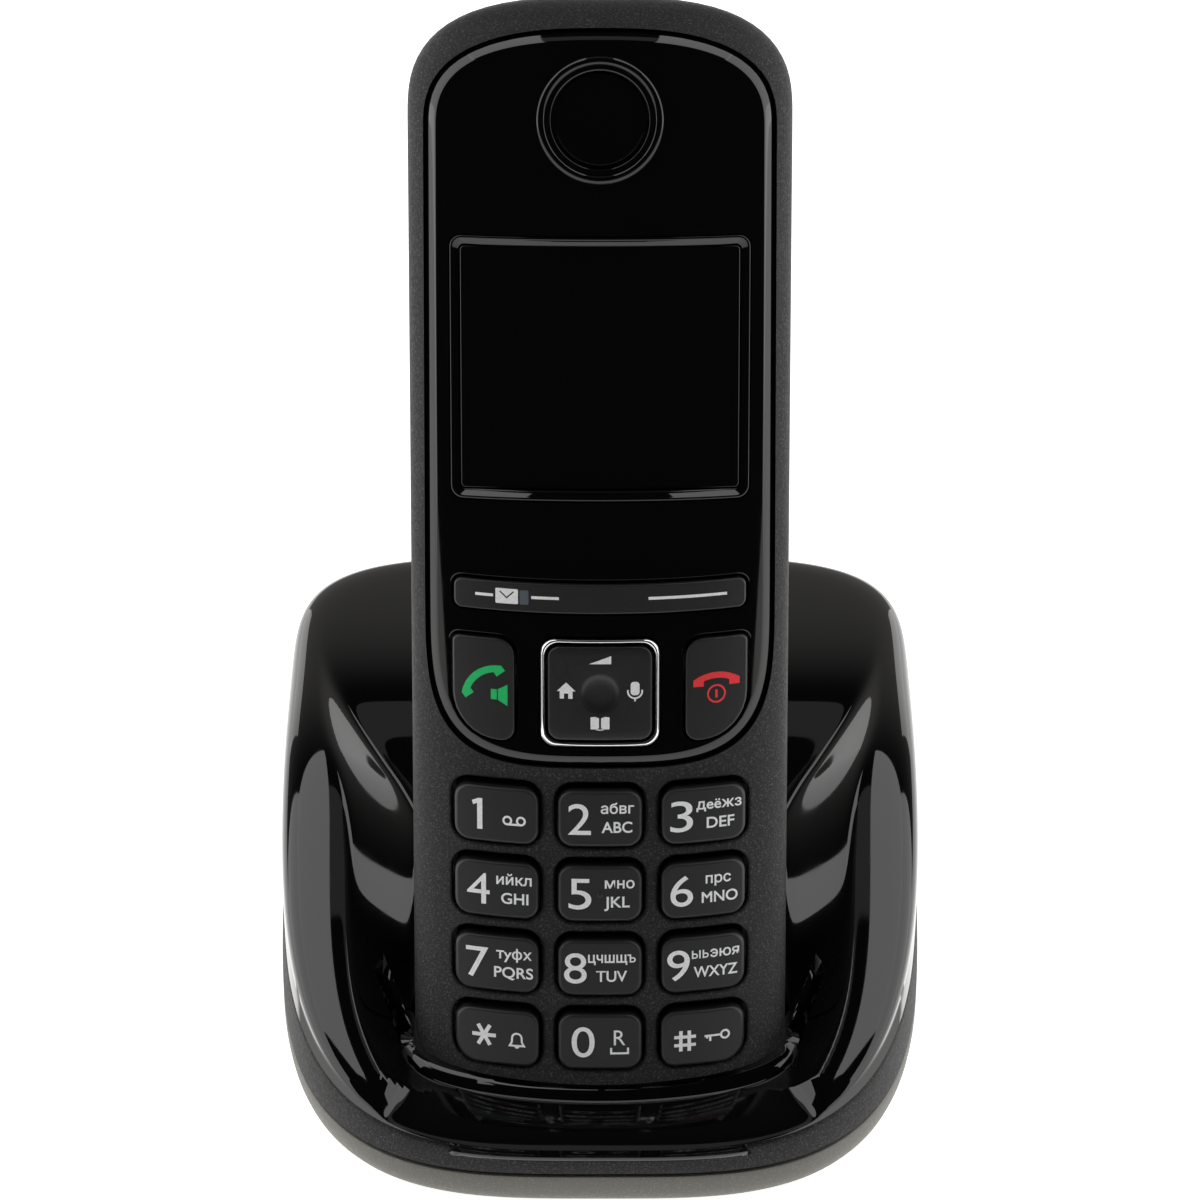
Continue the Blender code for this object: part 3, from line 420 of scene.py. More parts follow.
def trace_normals(thing, surface, space, agree=0.93):
    """Give the faces that follow `surface(x, y)` the true normals of that surface."""
    mesh = thing.data
    smooth = [Vector(corner.vector) for corner in mesh.corner_normals]
    back = space.inverted()
    turn = space.to_3x3().normalized()
    step = 0.02
    found = {}
    normals = []
    for polygon in mesh.polygons:
        for index, corner in zip(polygon.vertices, polygon.loop_indices):
            if index not in found:
                x, y, _ = (back @ mesh.vertices[index].co) / MM
                dx = (surface(x + step, y) - surface(x - step, y)) / (2 * step)
                dy = (surface(x, y + step) - surface(x, y - step)) / (2 * step)
                found[index] = (turn @ Vector((-dx, -dy, 1.0))).normalized()
            true = found[index]
            normals.append(true if polygon.normal.dot(true) > agree else smooth[corner])
    mesh.normals_split_custom_set(normals)


# ---------------------------------------------------------------- outlines

def power_point(half_x, half_y, power, angle):
    """A point on a superellipse."""
    c, s = math.cos(angle), math.sin(angle)
    return (math.copysign(abs(c) ** (2 / power), c) * half_x,
            math.copysign(abs(s) ** (2 / power), s) * half_y)


def rounded_outline(width, height, radii, centre=(0.0, 0.0), grow=0.0, steps=8, straight=6):
    """A rectangle with its own radius at each corner, from top left clockwise."""
    half_x = width / 2 + grow
    half_y = height / 2 + grow
    corners = ((-1, 1, 180), (1, 1, 90), (1, -1, 0), (-1, -1, -90))
    outline = []
    for (side, end, start), radius in zip(corners, radii):
        r = max(radius + grow, 0.02)
        for step in range(steps + 1):
            angle = math.radians(start - 90 * step / steps)
            x = side * (half_x - r) + r * math.cos(angle)
            y = end * (half_y - r) + r * math.sin(angle)
            outline.append((centre[0] + x, centre[1] + y))
    return subdivide(outline, steps, straight)


def subdivide(outline, steps, straight):
    """Split the straight runs between the corner arcs, so that they can follow a curved face."""
    points = []
    for i, (x, y) in enumerate(outline):
        points.append((x, y))
        if i % (steps + 1) == steps:
            x2, y2 = outline[(i + 1) % len(outline)]
            points += [(x + (x2 - x) * k / straight, y + (y2 - y) * k / straight)
                       for k in range(1, straight)]
    return points


def smiling(outline):
    """Lift an outline's points with their distance from the middle, as the rows of keys are."""
    return [(x, t + SMILE * x * x) for x, t in outline]


def circle(radius, centre=(0.0, 0.0), count=72):
    return [(centre[0] + radius * math.cos(2 * math.pi * i / count),
             centre[1] + radius * math.sin(2 * math.pi * i / count)) for i in range(count)]


def even(points, count):
    """The same closed line with `count` points, evenly spaced from its first."""
    loop = points + [points[0]]
    lengths = [math.dist(a, b) for a, b in zip(loop, loop[1:])]
    total = sum(lengths)
    result = []
    index, passed = 0, 0.0
    for i in range(count):
        goal = total * i / count
        while passed + lengths[index] < goal:
            passed += lengths[index]
            index += 1
        share = (goal - passed) / lengths[index]
        a, b = loop[index], loop[index + 1]
        result.append(tuple(p + (q - p) * share for p, q in zip(a, b)))
    return result


# ---------------------------------------------------------------- the handset's form

def end_scale(t, rounding, limit, direction, inset):
    """How much a section has shrunk at `t`, near an end rounded by a superellipse."""
    length, power = rounding
    along = direction * (t - limit) + length
    if along <= 0:
        return 1.0
    share = min(along / (length - inset), 1.0)
    return max(1.0 - share ** power, 0.0) ** (1 / power)


def foot_taper(t):
    """Share of the back's depth that is left at `t`, easing down towards the foot."""
    share = min(max((FOOT_TAPER_START - t) / (FOOT_TAPER_START - FOOT_T), 0.0), 1.0)
    return 1 - (1 - FOOT_BACK_SHARE) * share * share * (3 - 2 * share)


def section_scales(t, end, round_top=True):
    scale_x = end_scale(t, FOOT_CORNER, FOOT_T, -1, end)
    scale_z = end_scale(t, FOOT_EDGE, FOOT_T, -1, end)
    if round_top:
        scale_x *= end_scale(t, TOP_CORNER, TOP_T, 1, end)
        scale_z *= end_scale(t, TOP_EDGE, TOP_T, 1, end)
    return scale_x, scale_z


def section_point(t, turn, side, front, back, end, round_top=True):
    """A point of the form's section at `t`; half a turn from 0 is the face, the rest the back."""
    scale_x, scale_z = section_scales(t, end, round_top)
    half_x = (HALF_WIDTH - side) * scale_x
    if turn < math.pi:
        x, z = power_point(half_x, (FACE_DEPTH - front) * scale_z, 2.0, turn)
    else:
        x, z = power_point(half_x, (BACK_DEPTH * foot_taper(t) - back) * scale_z, BACK_POWER, turn)
    return x, t, z - FACE_DEPTH


def handset_form(side=0.0, front=None, back=None, end=None, count=120, swept_to=None):
    """The handset's outer form, inset by wall thicknesses (a negative inset swells it)."""
    front, back, end = (side if value is None else value for value in (front, back, end))
    foot = [FOOT_T + FOOT_CORNER[0] - (FOOT_CORNER[0] - end) * math.cos(math.pi / 2 * i / 12)
            for i in range(13)]
    foot[0] += 0.002
    stations = foot + [-58.0 + 2.0 * i for i in range(8)] + [-38.0 + 12.0 * i for i in range(8)]
    if swept_to is None:
        top = [TOP_T - TOP_CORNER[0] + (TOP_CORNER[0] - end) * math.sin(math.pi / 2 * i / 18)
               for i in range(19)]
        top[-1] -= 0.002
        stations += top
    else:
        stations += [swept_to]
    turns = [2 * math.pi * i / count for i in range(count)]
    round_top = swept_to is None
    return skin([[section_point(t, turn, side, front, back, end, round_top) for turn in turns]
                 for t in stations])


def face_z(x, t, rise=0.0):
    """Height of the face, or of a surface that stands proud of it by `rise`."""
    scale_x, scale_z = section_scales(t, -rise)
    share = min(abs(x) / max((HALF_WIDTH + rise) * scale_x, 0.01), 1.0)
    return (FACE_DEPTH + rise) * scale_z * math.sqrt(1 - share * share) - FACE_DEPTH


# ---------------------------------------------------------------- the base's form

def plan_point(angle, inset, share=1.0):
    """A point of the base's plan: an oval, widest behind the middle and squarer at the rear."""
    ahead = math.sin(angle) < 0
    power = FRONT_POWER if ahead else REAR_POWER
    reach = (WIDEST_Y + HALF_Y if ahead else HALF_Y - WIDEST_Y) - inset
    x, y = power_point((HALF_X - inset) * share, reach * share, power, angle)
    return x, WIDEST_Y + y


def parting_z(y):
    """The tilted plane on which the gloss cover meets the ring."""
    return PARTING_FRONT_Z + (PARTING_REAR_Z - PARTING_FRONT_Z) * (y + HALF_Y) / (2 * HALF_Y)


def smooth_min(a, b, blend):
    return (a + b - math.sqrt((a - b) ** 2 + blend * blend)) / 2


def smooth_max(a, b, blend):
    return -smooth_min(-a, -b, blend)


def crown_z(y):
    """Height of the cover along its middle, without the recess: a ramp up to the hump."""
    return smooth_min(RAMP_START_Z + RAMP_SLOPE * (y + HALF_Y), HUMP_Z, RAMP_BLEND)


def dome_z(x, y):
    """Height of the cover without its recess."""
    ahead = y < WIDEST_Y
    power = FRONT_POWER if ahead else REAR_POWER
    reach = (WIDEST_Y + HALF_Y if ahead else HALF_Y - WIDEST_Y) - COVER_INSET
    share = (abs(x / (HALF_X - COVER_INSET)) ** power + abs((y - WIDEST_Y) / reach) ** power) ** (1 / power)
    low = parting_z(y)
    return low + (crown_z(y) - low) * (1 - min(share, 1.0) ** SHOULDER_POWER) ** (1 / SHOULDER_POWER)


def recess_z(x, y):
    """The recess: facets that climb beside the handset, and a ramp behind it up to the hump."""
    ahead = max(PLATE_Y - y, 0.0)
    share = min(max((y - PLATE_Y) / FLOOR_LENGTH, 0.0), 1.0)
    floor = WELL_MOUTH_Z - PLATE_SLOPE * ahead + FLOOR_RISE * share * share * (3 - 2 * share)
    side = floor + SIDE_SLOPE * smooth_max(abs(x) - WELL_MOUTH_HALF_X - PLATE_FLARE * ahead, 0.0, 0.6)
    ramp = smooth_min(crown_z(y), RAMP_BACK_Z + RAMP_BACK_SLOPE * (y - RAMP_BACK_Y), RAMP_BACK_BLEND)
    return smooth_max(side, ramp, CREASE)


def cover_z(x, y):
    return smooth_min(dome_z(x, y), recess_z(x, y), CREASE)


# ---------------------------------------------------------------- base pieces

RADIALS, MOUTH_SAMPLES, MOUTH_MIDDLE = 360, 1920, (0.0, -31.0)
WELL_INSETS = [-WELL_CLEARANCE] * 4
LIP, COVER_THICKNESS = 1.1, 1.5
WELL_ROWS, LIP_ROWS, SURFACE_ROWS = 25, 6, 64
INNER_SHARE = 0.80             # how far out in the plan the rows leave their rays and follow the rim
SHOULDER_SHARES = [INNER_SHARE + (0.965 - INNER_SHARE) * k / 22 for k in range(23)]
SHOULDER_SHARES += [0.97 + 0.0297 * math.sin(math.pi / 2 * k / 9) for k in range(10)]


def well_point(turn, t):
    """A point on the wall of the well, in the world."""
    local = Vector(section_point(t, turn, *WELL_INSETS, round_top=False))
    return (HANDSET @ (local * MM)) / MM


def mouth_t(turn):
    """Where the wall of the well comes up through the cover."""
    low, high = FOOT_T + 0.5, 10.0
    for _ in range(40):
        middle = (low + high) / 2
        point = well_point(turn, middle)
        if point.z < cover_z(point.x, point.y):
            low = middle
        else:
            high = middle
    return low


def cover_column(turn, t, angle):
    """Points up the wall of the well, over its lip and out across the cover to the parting line."""
    corner = well_point(turn, t)
    mx, my, _ = corner
    column = []
    foot = FOOT_T - WELL_CLEARANCE + 0.01
    lip_t = t - LIP
    for k in range(WELL_ROWS + 1):
        share = math.sin(math.pi / 2 * k / WELL_ROWS) ** 1.4 if k else 0.0
        column.append(tuple(well_point(turn, foot + (lip_t - foot) * share)))
    edge = plan_point(angle, COVER_INSET, INNER_SHARE)
    span = math.dist((mx, my), edge)
    away = Vector((edge[0] - mx, edge[1] - my)) / span
    out = Vector((mx + away.x * LIP, my + away.y * LIP))
    outer = Vector((out.x, out.y, cover_z(*out)))
    below = Vector(column[-1])
    for k in range(1, LIP_ROWS + 1):
        s = k / LIP_ROWS
        column.append(tuple(below * (1 - s) ** 2 + corner * 2 * s * (1 - s) + outer * s * s))
    for k in range(1, SURFACE_ROWS):
        v = k / SURFACE_ROWS
        s = 0.45 * v + 0.55 * (0.5 - 0.5 * math.cos(math.pi * v))
        x, y = out.x + (edge[0] - out.x) * s, out.y + (edge[1] - out.y) * s
        column.append((x, y, cover_z(x, y)))
    for share in SHOULDER_SHARES:
        x, y = plan_point(angle, COVER_INSET, share)
        column.append((x, y, cover_z(x, y)))
    x, y = plan_point(angle, COVER_INSET)
    side_top = column[-1][2]
    low = parting_z(y) + 0.15
    for k in range(1, 5):
        column.append((x, y, side_top + (low - side_top) * k / 4))
    return column


def build_cover():
    """The gloss cover and the well that the handset stands in, as one skin with a thickness."""
    rim = even_angles(RADIALS)
    mouth = mouth_by_rays([plan_point(angle, COVER_INSET) for angle in rim])
    columns = [cover_column(turn, t, angle) for (turn, t), angle in zip(mouth, rim)]
    shape = skin(list(zip(*columns)), caps=(True, False))
    cover = to_object("cover_shell", shape, None, "gloss_black")
    solid = cover.modifiers.new("thickness", "SOLIDIFY")
    solid.thickness = COVER_THICKNESS * MM
    solid.offset = -1.0
    apply_modifiers(cover)
    trace_normals(cover, cover_z, WORLD, 0.9)

    slots = [tool(block((x - 1.3, -60.8, -28.5), (x + 1.3, -57.2, -20.0)), HANDSET) for x in (-8.5, 8.5)]
    line = [power_point(7.35, 3.55, 2.6, 2 * math.pi * i / 64) for i in range(64)]
    key_hole = tool(prism(line, -6.0, 4.0), paging_space())
    cut_away(cover, *slots, key_hole)
    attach(cover, "base")
    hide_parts("base_top_cover", "cradle_well")


def even_angles(count):
    """Angles that space the rim's points evenly, from the middle of the front."""
    dense = [-math.pi / 2 + 2 * math.pi * i / 2880 for i in range(2881)]
    points = [plan_point(angle, COVER_INSET) for angle in dense]
    passed = [0.0]
    for a, b in zip(points, points[1:]):
        passed.append(passed[-1] + math.dist(a, b))
    result = []
    index = 0
    for i in range(count):
        goal = passed[-1] * i / count
        while passed[index + 1] < goal:
            index += 1
        share = (goal - passed[index]) / (passed[index + 1] - passed[index])
        result.append(dense[index] + (dense[index + 1] - dense[index]) * share)
    return result


def ray_angle(x, y):
    """Direction in plan from the middle of the mouth, from the front of the base onwards."""
    return math.atan2(x - MOUTH_MIDDLE[0], MOUTH_MIDDLE[1] - y) % (2 * math.pi)


def mouth_by_rays(targets):
    """The turn and length at which the mouth crosses each ray from its middle to a target."""
    samples = []
    for i in range(MOUTH_SAMPLES):
        turn = 2 * math.pi * i / MOUTH_SAMPLES
        point = well_point(turn, mouth_t(turn))
        samples.append((ray_angle(point.x, point.y), turn))
    samples.sort()
    samples = [(samples[-1][0] - 2 * math.pi, samples[-1][1])] + samples
    samples.append((samples[1][0] + 2 * math.pi, samples[1][1]))
    result = []
    for x, y in targets:
        goal = ray_angle(x, y)
        index = next(i for i in range(1, len(samples)) if samples[i][0] >= goal)
        (angle_a, turn_a), (angle_b, turn_b) = samples[index - 1], samples[index]
        share = (goal - angle_a) / max(angle_b - angle_a, 1e-9)
        step = (turn_b - turn_a + math.pi) % (2 * math.pi) - math.pi
        turn = (turn_a + step * share) % (2 * math.pi)
        result.append((turn, mouth_t(turn)))
    return result


def paging_space():
    place = Matrix.Translation(Vector((0.0, PAGING_Y, recess_z(0.0, PAGING_Y))) * MM)
    return place @ Matrix.Rotation(math.atan(RAMP_BACK_SLOPE), 4, "X")


def base_ring(z, inset, count=320):
    """A level ring, or one that follows a function of y."""
    points = [plan_point(-math.pi / 2 + 2 * math.pi * i / 1440, inset) for i in range(1440)]
    return [(x, y, z(y) if callable(z) else z) for x, y in even(points, count)]


def ring_z(y, share):
    low = SEAM_Z + GAP / 2
    return low + (parting_z(y) - GAP / 2 - low) * share


def build_ring():
    """The textured ring, with its edges eased and two windows at the rear."""
    ease = 0.22
    levels = [base_ring(lambda y: ring_z(y, 0.0), ease)]
    for share in (0.0, 0.15, 0.3, 0.45, 0.6, 0.75, 0.9, 1.0):
        lift = ease if share == 0.0 else (-ease if share == 1.0 else 0.0)
        inset = COVER_INSET * share * share
        levels.append(base_ring(lambda y, k=share, up=lift: ring_z(y, k) + up, inset))
    levels.append(base_ring(lambda y: ring_z(y, 1.0), COVER_INSET + ease))
    levels.append(base_ring(lambda y: ring_z(y, 1.0), BASE_WALL))
    levels.append(base_ring(lambda y: ring_z(y, 0.0), BASE_WALL))
    ring = to_object("textured_ring", skin(levels, closed=True), None, "matte_black")
    line_window = tool(prism(rounded_outline(9.8, 6.8, (0.5,) * 4, (14.0, 0.0)), -14.0, 14.0), rear_space())
    power_window = tool(prism(circle(3.6, (-14.0, 0.0)), -14.0, 14.0), rear_space())
    cut_away(ring, line_window, power_window)
    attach(ring, "base")
    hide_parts("base_ring")


def rear_space():
    """A frame whose z points out of the back of the base, at the height of the sockets."""
    return Matrix.Translation(Vector((0.0, 52.0, 11.0)) * MM) @ Matrix.Rotation(math.radians(-90), 4, "X")


def build_bottom():
    """The bottom shell, with the openings for the screws and the feet."""
    outer = ((1.0, 3.6), (1.0, 3.2), (1.25, 2.35), (1.7, 1.55), (2.3, 0.9), (3.0, 0.4), (3.8, 0.12),
             (4.6, 0.0), (6.1, 0.0), (6.4, 0.1), (SEAM_Z - GAP / 2, 0.35))
    levels = [base_ring(z, inset) for z, inset in outer]
    levels += [base_ring(SEAM_Z - GAP / 2, BASE_WALL), base_ring(2.5, BASE_WALL + 0.6)]
    # The shell_black finish carries painted floor light in its lightened base colour.
    shell = to_object("bottom_tray", skin(levels), None, "shell_black")
    cutters = []
    for x, y in corner_points(30.5, 35.4):
        cutters.append(tool(prism(circle(2.9, (x, y), 40), 0.0, 2.2)))
    for x, y in corner_points(22.0, 39.0):
        cutters.append(tool(prism(circle(4.8, (x, y), 48), 0.0, 1.8)))
    cut_away(shell, *cutters)
    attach(shell, "base")
    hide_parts("base_bottom_shell")


def corner_points(x, y):
    return [(-x, -y), (x, -y), (-x, y), (x, y)]


# ---------------------------------------------------------------- solids that follow the face

def strip_cap(shape, row):
    """Fill a wide outline with strips across it, which follow a top that is curved along its width."""
    edge = min(v.co.x for v in row) + 0.001
    side = [i for i, v in enumerate(row) if v.co.x < edge]
    middle = sum(row[i].co.y for i in side) / len(side)
    start = min(side, key=lambda i: abs(row[i].co.y - middle))
    ring = row[start:] + row[:start]
    half = len(ring) // 2
    shape.faces.new((ring[0], ring[1], ring[-1]))
    for i in range(1, half - 1):
        shape.faces.new((ring[i], ring[i + 1], ring[-i - 1], ring[-i]))
    shape.faces.new((ring[half - 1], ring[half], ring[half + 1]))


def on_surface(points, surface, drop_by=0.0):
    return [(x, t, surface(x, t) - drop_by) for x, t in points]


def towards(points, centre, share):
    """The same ring, drawn in towards a point."""
    return [(centre[0] + (x - centre[0]) * share, centre[1] + (t - centre[1]) * share) for x, t in points]


def plug_rings(line, surface, low, ease, centre, shrink=(0.86, 0.7, 0.5, 0.25)):
    """A plug with an eased edge, whose top follows the surface. `line(grow)` gives its outline."""
    foot = line(0.0)
    rings = [[(x, t, low) for x, t in foot], on_surface(foot, surface, ease)]
    for k in range(1, 6):
        angle = math.pi / 2 * k / 5
        rings.append(on_surface(line(-ease * (1 - math.cos(angle))), surface, ease * (1 - math.sin(angle))))
    last = line(-ease)
    rings += [on_surface(towards(last, centre, share), surface) for share in shrink]
    return rings


def plug(name, line, surface, low, ease, centre, body, look, stands_for=(), wide=False):
    if wide:
        shape = bmesh.new()
        rows = add_loft(shape, plug_rings(line, surface, low, ease, centre, ()), caps=(True, False))
        strip_cap(shape, rows[-1])
    else:
        shape = skin(plug_rings(line, surface, low, ease, centre))
    thing = to_object(name, shape, None, look, HANDSET)
    trace_normals(thing, surface, HANDSET, 0.985)
    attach(thing, body)
    finish_piece(stands_for)
    return thing


def finish_piece(stands_for):
    if stands_for:
        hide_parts(*stands_for)


def rim_rings(line, surface, gap, ease, depth):
    """The eased edge of a hole: from the surface round into the hole and down its wall."""
    rings = [on_surface(line(gap + ease), surface, depth), on_surface(line(gap + ease), surface, -0.004)]
    for k in range(1, 6):
        angle = math.pi / 2 * k / 5
        reach, fall = ease * (1 - math.sin(angle)), ease * (1 - math.cos(angle))
        rings.append(on_surface(line(gap + reach), surface, fall))
    rings.append(on_surface(line(gap), surface, depth))
    return rings


def rims(name, edges, look):
    """Eased edges of several holes as one piece. Each edge is (line, surface, gap, ease, depth)."""
    shape = bmesh.new()
    for edge in edges:
        add_loft(shape, rim_rings(*edge), closed=True)
    thing = to_object(name, shape, "handset", look, HANDSET)


# ---------------------------------------------------------------- keys

NUMBER_RISE, PANEL_KEY_RISE = 1.3, 0.8
NUMBER_GAP, PANEL_KEY_GAP, NUMBER_HEADROOM = 0.4, 0.35, 0.4
KEY_ROWS = (("key_1", "key_2", "key_3"), ("key_4", "key_5", "key_6"),
            ("key_7", "key_8", "key_9"), ("key_star", "key_0", "key_hash"))


def make_keys():
    """Every key's centre, outline, rise, gap and edge easing, by name."""
    table = {}
    for row, names in enumerate(KEY_ROWS):
        for column, name in enumerate(names):
            radii = [1.9, 1.9, 2.9 if name == "key_hash" else 1.9, 2.9 if name == "key_star" else 1.9]
            x, t = (column - 1) * 13.4, -28.7 - row * 9.97
            table[name] = key_entry((x, t), (10.9, 7.4), radii, NUMBER_RISE, NUMBER_GAP, 0.55,
                                    NUMBER_HEADROOM)
    for name, side in (("talk_key", -1), ("end_key", 1)):
        radii = (0.9, 2.3, 1.7, 6.0) if side < 0 else (2.3, 0.9, 6.0, 1.7)
        table[name] = key_entry((side * 15.0, -11.9), (8.0, 13.4), radii, PANEL_KEY_RISE, PANEL_KEY_GAP, 0.35)
    table["softkey_bar"] = key_entry((0.0, 0.1), (37.5, 3.8), (1.0,) * 4, PANEL_KEY_RISE, PANEL_KEY_GAP, 0.3)
    table["nav_key"] = key_entry((0.0, -12.25), (13.4, 12.25), (1.5,) * 4, PANEL_KEY_RISE, PANEL_KEY_GAP, 0.3)
    return table


def key_entry(centre, size, radii, rise, gap, ease, headroom=0.0):
    """A key with headroom stands in a row that is lifted along the smile as a whole."""
    x0, t0 = centre
    lift = SMILE * x0 * x0 if headroom else 0.0
    offset = lift - SMILE * x0 * x0
    straight = 14 if size[0] > 20 else 5

    def line(grow=0.0):
        outline = rounded_outline(*size, radii, centre, grow, straight=straight)
        return [(x, t + SMILE * x * x + offset) for x, t in outline]

    def hole(grow=0.0):
        outline = rounded_outline(size[0], size[1] + headroom, radii, (x0, t0 + headroom / 2), grow,
                                  straight=straight)
        return [(x, t + SMILE * x * x + offset) for x, t in outline]

    return {"centre": (x0, t0 + lift), "line": line, "hole": hole, "rise": rise, "gap": gap, "ease": ease}


def build_keys():
    for name, key in KEYS.items():
        if name == "nav_key":
            continue
        look = "number_plastic" if key["rise"] == NUMBER_RISE else "panel_key_plastic"
        plug(f"{name}_cap", key["line"], lambda x, t, r=key["rise"]: face_z(x, t, r), -6.2,
             key["ease"], key["centre"], name, look, (name,), wide=name == "softkey_bar")
    build_nav_key()


# radius and depth of each ring of the navigation key's dish
NAV_DISH = ((2.75, 0.0), (2.45, 0.02), (2.3, 0.1), (2.15, 0.2), (1.8, 0.27), (1.2, 0.31), (0.5, 0.33))


def build_nav_key():
    """The rocking key: a squarish plate with a shallow round dish in its middle."""
    key = KEYS["nav_key"]
    cx, ct = key["centre"]

    def surface(x, t):
        return face_z(x, t, key["rise"])

    rings = plug_rings(key["line"], surface, -2.2, key["ease"], key["centre"], ())
    last = key["line"](-key["ease"])
    for share in (0.85, 0.7):
        rings.append(on_surface(towards(last, (cx, ct), share), surface))
    for radius, depth in NAV_DISH:
        ring = []
        for x, t in last:
            reach = math.dist((x, t), (cx, ct))
            ring.append((cx + (x - cx) / reach * radius, ct + (t - ct) / reach * radius))
        rings.append(on_surface(ring, surface, depth))
    thing = to_object("nav_key_cap", skin(rings), "nav_key", "panel_key_plastic", HANDSET)
    finish_piece(("nav_key",))


# ---------------------------------------------------------------- the handset's front

WINDOW = (0.0, 29.6)
EARPIECE, EARPIECE_HOLE = (0.0, 61.2), 6.2
PANEL_HEAD = (22.1, 12.6, 2.6, 59.7)      # half width, height, power and start of the rounded head
PANEL_FOOT = (22.3, 22.0, 3.75)
BEVEL_WIDTH, BEVEL_DROP = 1.35, 0.6
PANEL_UNDER_ROWS = (1, 8, 13, 17, 21)     # rings of the panel that its underside repeats
PANEL_EDGE, FRAME_EDGE = 0.2, 0.45        # how far the edges of the holes are eased
PANEL_KEYS = ("talk_key", "end_key", "softkey_bar")


def panel_outline(grow=0.0):
    """The gloss panel: straight sides, a rounded head and a squarish U at its foot."""
    half_x, height, power, start = PANEL_HEAD
    points = []
    for i in range(65):
        x, y = power_point(half_x + grow, height + grow, power, math.pi * i / 64)
        points.append((x, start + y))
    side = PANEL_FOOT[0] + grow
    points += [(-(half_x + grow) + (half_x + grow - side) * k / 30, start * (1 - k / 30))
               for k in range(1, 30)]
    for i in range(81):
        x, y = power_point(side, PANEL_FOOT[1] + grow, PANEL_FOOT[2], math.pi + math.pi * i / 80)
        points.append((x, y))
    points += [(side + (half_x + grow - side) * k / 30, start * k / 30) for k in range(1, 30)]
    return points


def panel_inset(x, t):
    """How far inside the panel's outline a point lies."""
    low, high = -1.0, 12.0
    for _ in range(18):
        inset = (low + high) / 2
        if t > PANEL_HEAD[3]:
            (half_x, half_t, power), y = PANEL_HEAD[:3], t - PANEL_HEAD[3]
        elif t < 0:
            (half_x, half_t, power), y = PANEL_FOOT, t
        else:
            return PANEL_FOOT[0] + (PANEL_HEAD[0] - PANEL_FOOT[0]) * t / PANEL_HEAD[3] - abs(x)
        half_x, half_t = half_x - inset, half_t - inset
        if abs(x / half_x) ** power + abs(y / half_t) ** power < 1 if half_t > 0 else False:
            low = inset
        else:
            high = inset
    return (low + high) / 2


def bevel_drop(inset):
    """The bevel round the panel, with a soft shoulder."""
    share = max(1 - max(inset, 0.0) / BEVEL_WIDTH, 0.0)
    return BEVEL_DROP * smooth_max(share - 0.12, 0.0, 0.1) / 0.88


def panel_z(x, t):
    return face_z(x, t) - bevel_drop(panel_inset(x, t))


def build_panel():
    centre = (0.0, 27.0)
    rings = []
    outer = panel_outline()
    rings.append([(x, t, face_z(x, t) - BEVEL_DROP - 1.4) for x, t in outer])
    for inset in (0.0, 0.06, 0.18, 0.35, 0.55, 0.75, 0.95, 1.1, 1.2, 1.3, 1.45, 1.7):
        edge = 0.12 if inset == 0.0 else (0.03 if inset == 0.06 else 0.0)
        rings.append([(x, t, face_z(x, t) - bevel_drop(inset) - edge) for x, t in panel_outline(-inset)])
    last = panel_outline(-1.7)
    for share in (0.96, 0.91, 0.85, 0.77, 0.68, 0.58, 0.47, 0.35, 0.22, 0.1):
        rings.append(on_surface(towards(last, centre, share), face_z))
    under = [[(x, t, z - PANEL_THICKNESS) for x, t, z in rings[index]] for index in PANEL_UNDER_ROWS]
    shape = skin(list(reversed(under)) + rings[1:])
    panel = to_object("gloss_panel", shape, None, "gloss_black", HANDSET)
    holes = [KEYS[name]["line"](PANEL_KEY_GAP + PANEL_EDGE) for name in PANEL_KEYS]
    holes += [nav_line(GAP), bezel_line(0.15), circle(EARPIECE_HOLE + PANEL_EDGE, EARPIECE)]
    cutters = [tool(prism(hole, -10.0, 6.0), HANDSET) for hole in holes]
    cut_away(panel, *cutters)
    trace_normals(panel, panel_z, HANDSET)
    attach(panel, "handset")
    finish_piece(("handset_gloss_panel",))
    edges = [(KEYS[name]["line"], face_z, PANEL_KEY_GAP, PANEL_EDGE, 1.6) for name in PANEL_KEYS]
    edges.append((lambda grow: circle(EARPIECE_HOLE + grow, EARPIECE), face_z, 0.0, PANEL_EDGE, 1.6))
    rims("panel_hole_edges", edges, "gloss_black")


def nav_line(grow=0.0):
    return smiling(rounded_outline(15.3, 14.15, (2.0,) * 4, KEYS["nav_key"]["centre"], grow))


def bezel_line(grow=0.0):
    return rounded_outline(38.2, 33.75, (1.5,) * 4, WINDOW, grow, straight=14)


def lens_line(grow=0.0):
    return rounded_outline(35.6, 31.1, (0.6,) * 4, WINDOW, grow, straight=14)


def lens_z(x, t):
    return -1.2 - 1.9 * (x / 17.8) ** 2


def band(name, outer, inner, profile, low, look, stands_for=()):
    """A closed band between two outlines. The profile is (share of the way in, height above the face)."""
    shape = bmesh.new()
    outside, inside = outer(0.0), inner(0.0)

    def ring(share, z_of):
        points = [(a[0] + (b[0] - a[0]) * share, a[1] + (b[1] - a[1]) * share)
                  for a, b in zip(outside, inside)]
        return [(x, t, z_of(x, t)) for x, t in points]

    rings = [ring(share, lambda x, t, h=height: face_z(x, t) + h) for share, height in profile]
    rings.append(ring(1.0, lambda x, t: face_z(x, t) + low))
    rings.append(ring(0.0, lambda x, t: face_z(x, t) + low))
    add_loft(shape, rings, closed=True)
    thing = to_object(name, shape, "handset", look, HANDSET)
    finish_piece(stands_for)


